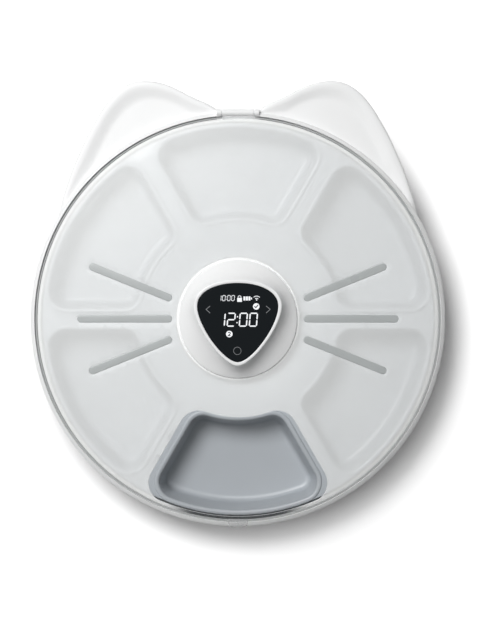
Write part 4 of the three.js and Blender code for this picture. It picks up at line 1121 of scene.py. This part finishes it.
# Which bars light up in each digit that shows
SEGMENTS = {"0": "abcdef", "1": "bc", "2": "abged"}
SEGMENT_GAP = 0.18
DIGIT_LEAN = 0.08
COLON_WIDTH = 0.21
COLON_DOTS = (0.27, 0.73)
COLON_DOT_SIZE = 0.55

# Text, lower left corner, a digit's width and height, stroke and step
CLOCKS = [
    ("10:00", -15.35, 14.2, 2.15, 4.1, 0.45, 3.25),
    ("12:00", -16.15, -5.7, 5.6, 10.05, 1.0, 7.85),
]

# Rectangles from corner to corner: the padlock's body, three battery bars and the battery's tip
SIGN_BARS = [
    (-0.4, 13.3, 3.3, 16.4), (4.5, 14.4, 6.05, 17.5), (6.45, 14.4, 8.0, 17.5), (8.4, 14.4, 9.95, 17.5),
    (10.35, 15.2, 11.2, 16.7),
]
SHACKLE_X, SHACKLE_Y, SHACKLE_RADIUS, SHACKLE_FOOT, SHACKLE_WIDTH = 1.45, 16.9, 1.15, 16.3, 0.45
WAVE_X, WAVE_Y, WAVE_RADII, WAVE_WIDTH = 14.8, 14.4, (1.7, 3.4), 0.5
WAVE_START, WAVE_END = math.radians(45), math.radians(140)
SIGN_STEPS = 12
WAVE_STEPS = 14

# Discs as x, y, radius and steps: under the waves, behind the tick and behind the meal's number
NUMBER_X, NUMBER_Y = -6.6, -11.9
SIGN_DISCS = [(14.8, 14.8, 0.5, SIGN_STEPS), (14.5, 9.7, 2.55, 40), (NUMBER_X, NUMBER_Y, 2.55, 40)]
TICK = [(13.1, 9.8), (14.1, 8.8), (16.0, 10.9)]
TICK_WIDTH = 0.8
TWO = [(-0.85, 0.8), (-0.4, 1.35), (0.4, 1.35), (0.85, 0.8), (0.6, 0.1), (-0.75, -1.3), (1.0, -1.3)]
TWO_WIDTH = 0.65

# Touch keys: arrows at both sides and a ring below
ARROW_MIDDLE, ARROW_TIP, ARROW_TAIL, ARROW_WIDTH = 0.3, 25.1, 21.9, 0.5
ARROW_HEIGHTS = (10.1, 7.4, 4.5)
KEY_X, KEY_Y, KEY_INNER, KEY_OUTER, KEY_STEPS = -0.3, -25.1, 2.75, 3.1, 40


def slab(build, points, lift=0.0):
    """Flat plate of an outline."""
    build.close([at_height(mm(points), SIGN_Z + lift + up) for up in (0, SIGN_THICK)])


def strip(build, points, width, lift=0.0):
    """Bar of even width along a line of points."""
    line = [Vector(p) for p in points]
    left, right = [], []
    for i, p in enumerate(line):
        before = (p - line[i - 1]).normalized() if i else None
        after = (line[i + 1] - p).normalized() if i < len(line) - 1 else None
        along = ((before or after) + (after or before)).normalized()
        side = Vector((-along.y, along.x)) * width / 2
        if before and after:
            side /= max(along.dot(after), MITRE_LIMIT)
        left.append(tuple(p + side))
        right.append(tuple(p - side))
    slab(build, left + right[::-1], lift)


def disc(build, x, y, radius, steps):
    slab(build, circle(radius, steps, x, y))


def seven_segment(build, digit, x, y, width, height, stroke):
    """One digit of bars with mitred ends; x and y are its lower left corner."""
    half = height / 2
    spots = {
        "a": ((0, height), (width, height)), "g": ((0, half), (width, half)), "d": ((0, 0), (width, 0)),
        "f": ((0, half), (0, height)), "b": ((width, half), (width, height)),
        "e": ((0, 0), (0, half)), "c": ((width, 0), (width, half)),
    }
    for key in SEGMENTS[digit]:
        start, end = (Vector(spot) for spot in spots[key])
        along = (end - start).normalized()
        side = Vector((-along.y, along.x)) * stroke / 2
        start, end = start + along * stroke * SEGMENT_GAP, end - along * stroke * SEGMENT_GAP
        near, far = start + along * stroke / 2, end - along * stroke / 2
        corners = [start, near + side, far + side, end, far - side, near - side]
        slab(build, [(x + p.x + DIGIT_LEAN * p.y, y + p.y) for p in corners])


def clock(build, text, x, y, width, height, stroke, step):
    """Digits in a row; the dots stand in the middle of a slightly wider gap."""
    wider = COLON_WIDTH * step
    for mark in text:
        if mark == ":":
            middle = x + (wider - step + width) / 2
            for up in COLON_DOTS:
                rise = height * up
                disc(build, middle + DIGIT_LEAN * rise, y + rise, stroke * COLON_DOT_SIZE, SIGN_STEPS)
            x += wider
        else:
            seven_segment(build, mark, x, y, width, height, stroke)
            x += step


def lit_signs():
    build = Build()
    for row in CLOCKS:
        clock(build, *row)
    for x0, y0, x1, y1 in SIGN_BARS:
        slab(build, [(x0, y0), (x1, y0), (x1, y1), (x0, y1)])
    left, right = SHACKLE_X - SHACKLE_RADIUS, SHACKLE_X + SHACKLE_RADIUS
    bow = arc(SHACKLE_X, SHACKLE_Y, SHACKLE_RADIUS, 0, math.pi, SIGN_STEPS)
    strip(build, [(right, SHACKLE_FOOT), *bow, (left, SHACKLE_Y), (left, SHACKLE_FOOT)], SHACKLE_WIDTH)
    for radius in WAVE_RADII:
        strip(build, arc(WAVE_X, WAVE_Y, radius, WAVE_START, WAVE_END, WAVE_STEPS), WAVE_WIDTH)
    for spot in SIGN_DISCS:
        disc(build, *spot)
    return build


def dark_marks():
    """Tick and number that stand out dark on the lit discs."""
    build = Build()
    strip(build, TICK, TICK_WIDTH, DARK_LIFT)
    strip(build, [(NUMBER_X + x, NUMBER_Y + y) for x, y in TWO], TWO_WIDTH, DARK_LIFT)
    return build


def touch_keys():
    build = Build()
    for side in (-1, 1):
        places = [ARROW_MIDDLE + side * reach for reach in (ARROW_TAIL, ARROW_TIP, ARROW_TAIL)]
        strip(build, list(zip(places, ARROW_HEIGHTS)), ARROW_WIDTH)
    rings = ((KEY_INNER, 0), (KEY_OUTER, 0), (KEY_OUTER, SIGN_THICK), (KEY_INNER, SIGN_THICK))
    build.stack([
        at_height(mm(circle(radius, KEY_STEPS, KEY_X, KEY_Y)), SIGN_Z + up) for radius, up in rings
    ], closed=True)
    return build


# Pieces

shell = piece("shell_with_ears", base_shell(), white, "root", ["base_shell"])
cut_away(shell, socket_mouth())
piece("hinge_lugs", hinge_lugs(), white, "root")
piece("tray_moulding", tray_piece(), grey, "tray", ["tray"])
lid = piece("lid_moulding", lid_panel(), lid_clear, "lid", ["lid_panel"])
# Painted shade on the strip in front of the window
smoked_bridge(lid)
piece("lid_finger_tab", lid_tab(), tab_clear, "lid", ())
knuckle = across_bar(KNUCKLE_RADIUS, KNUCKLE_HALF, 4 * EDGE, bore=PIN_RADIUS + HINGE_GAP)
piece("lid_knuckle", knuckle, knuckle_white, "lid", ())
piece("lid_hinge_strip", lid_tongue(), strip_clear, "lid", ())
pin = across_bar(PIN_RADIUS, LUG_OUTER - 2 * EDGE, 3 * EDGE)
piece("hinge_pin_round", pin, steel, "root", ["hinge_pin"])
for name, start, end in whisker_places():
    piece(f"{name}_inlay", whisker(start, end), whisker_grey, "lid", [name])
piece("seal_ring", rim_seal(), seal_grey, "root", ["rim_seal"])
piece("seal_low_part", low_seal(), seal_grey, "root", ())
piece("hub_cone", hub_cover(), white, "root", ["hub_cover"])
piece("display_frame", display_bezel(), white, "root", ["display_bezel"])
piece("display_glass", display_lens(), lens_black, "root", ["display_lens"])
piece("display_signs", lit_signs(), lit_white, "root", (), tidy=False)
piece("display_dark_marks", dark_marks(), lens_black, "root", (), tidy=False)
piece("display_keys", touch_keys(), lit_grey, "root", (), tidy=False)
piece("column_round", column(), white, "root", ["column_housing"])
for i in range(1, FEET + 1):
    piece(f"foot_pad_{i}", foot_pad(f"foot_{i}"), foot_black, "root", [f"foot_{i}"])

SLOT_MATERIALS = {
    "white_shell": white, "lid_clear": lid_clear, "whisker_grey": whisker_grey, "tray_grey": grey,
    "seal_rubber": seal_grey, "foot_rubber": foot_black, "display_glass": lens_black, "circuit_board": board,
    "steel_parts": steel, "gear_plastic": gear_white, "black_plastic": deck_black, "cell_wrap": cell_blue,
    "cooling_gel": pack_blue, "lead_jacket": lead_black,
}
for entry in frame["record"]["subparts"]:
    node = frame["nodes"][entry["node"]]
    node.data.materials.clear()
    node.data.materials.append(SLOT_MATERIALS[entry["material_slot"]])


# Floor, light and camera

FLOOR_SIZE = 4.0
FLOOR_COLOR = (0.9, 0.9, 0.9, 1)
# Painted light: the floor's glow is weak beside the object and strong further out
GLOW_REACH = (0.165, 0.197)
GLOW_NEAR, GLOW_FAR = 0.04, 0.52
WORLD_LOW, WORLD_HIGH = 0.09, 1.0
WHITE = (1, 1, 1, 1)

# Lamps as name, place, diameter and power
LAMPS = [("key_lamp", (-0.573, 0.76, 1.69), 0.95, 31), ("fill_lamp", (-1.1, -0.25, 1.5), 0.9, 3)]
LAMP_TARGET = Vector((0, 0, 0.04))


def background(name):
    """Floor that looks white to the camera, with a painted glow that grows away from the object, so that its
    shadow is dark close by and fades out soon.
    """
    shader = Shader(name)
    light = shader.span(shader.length(shader.place), GLOW_NEAR, GLOW_FAR, *GLOW_REACH, "SMOOTHSTEP")
    shader.link(shader.math("MULTIPLY", shader.looked_at(), light), "Emission Strength")
    shader.set(Base_Color=FLOOR_COLOR, Roughness=0.9, Emission_Color=WHITE, Specular_IOR_Level=0.0)
    return shader.material


floor_mesh = bpy.data.meshes.new("floor")
half = FLOOR_SIZE / 2
corners = [(-half, -half, 0), (half, -half, 0), (half, half, 0), (-half, half, 0)]
floor_mesh.from_pydata(corners, [], [(0, 1, 2, 3)])
floor_mesh.materials.append(background("floor_white"))
floor = placed("floor", floor_mesh)
floor.location.y = AXIS_Y

# Round lamps that look at the object's middle
for name, place, size, power in LAMPS:
    lamp = bpy.data.lights.new(name, "AREA")
    lamp.shape = "DISK"
    lamp.size = size
    lamp.energy = power
    holder = placed(name, lamp)
    holder.location = place
    holder.rotation_euler = (LAMP_TARGET - Vector(place)).to_track_quat("-Z", "Y").to_euler()

# The world is dim as a lamp and white where it is looked at
world = bpy.data.worlds.new("studio")
bpy.context.scene.world = world
studio = Nodes(world)
level = studio.node("ShaderNodeMapRange", studio.looked_at(), To_Min=WORLD_LOW, To_Max=WORLD_HIGH)
studio.links.new(level.outputs["Result"], studio.nodes["Background"].inputs["Strength"])
studio.nodes["Background"].inputs["Color"].default_value = WHITE

# The photograph looks straight down; its middle is a little to the right of the spin axis
PHOTO_COLUMNS = 502
COLUMN_WIDTH = 0.7947 * MM
CAMERA_OFFSET = (10.4 * MM, -1.7 * MM)
CAMERA_HEIGHT = 1.5
camera_data = bpy.data.cameras.new("camera")
camera_data.sensor_fit = "HORIZONTAL"
camera_data.angle_x = 2 * math.atan(PHOTO_COLUMNS * COLUMN_WIDTH / 2 / (CAMERA_HEIGHT - RIM_TOP))
camera = placed("camera", camera_data)
camera.location = (CAMERA_OFFSET[0], AXIS_Y + CAMERA_OFFSET[1], CAMERA_HEIGHT)
bpy.context.scene.camera = camera

bpy.context.scene.view_settings.view_transform = "Standard"
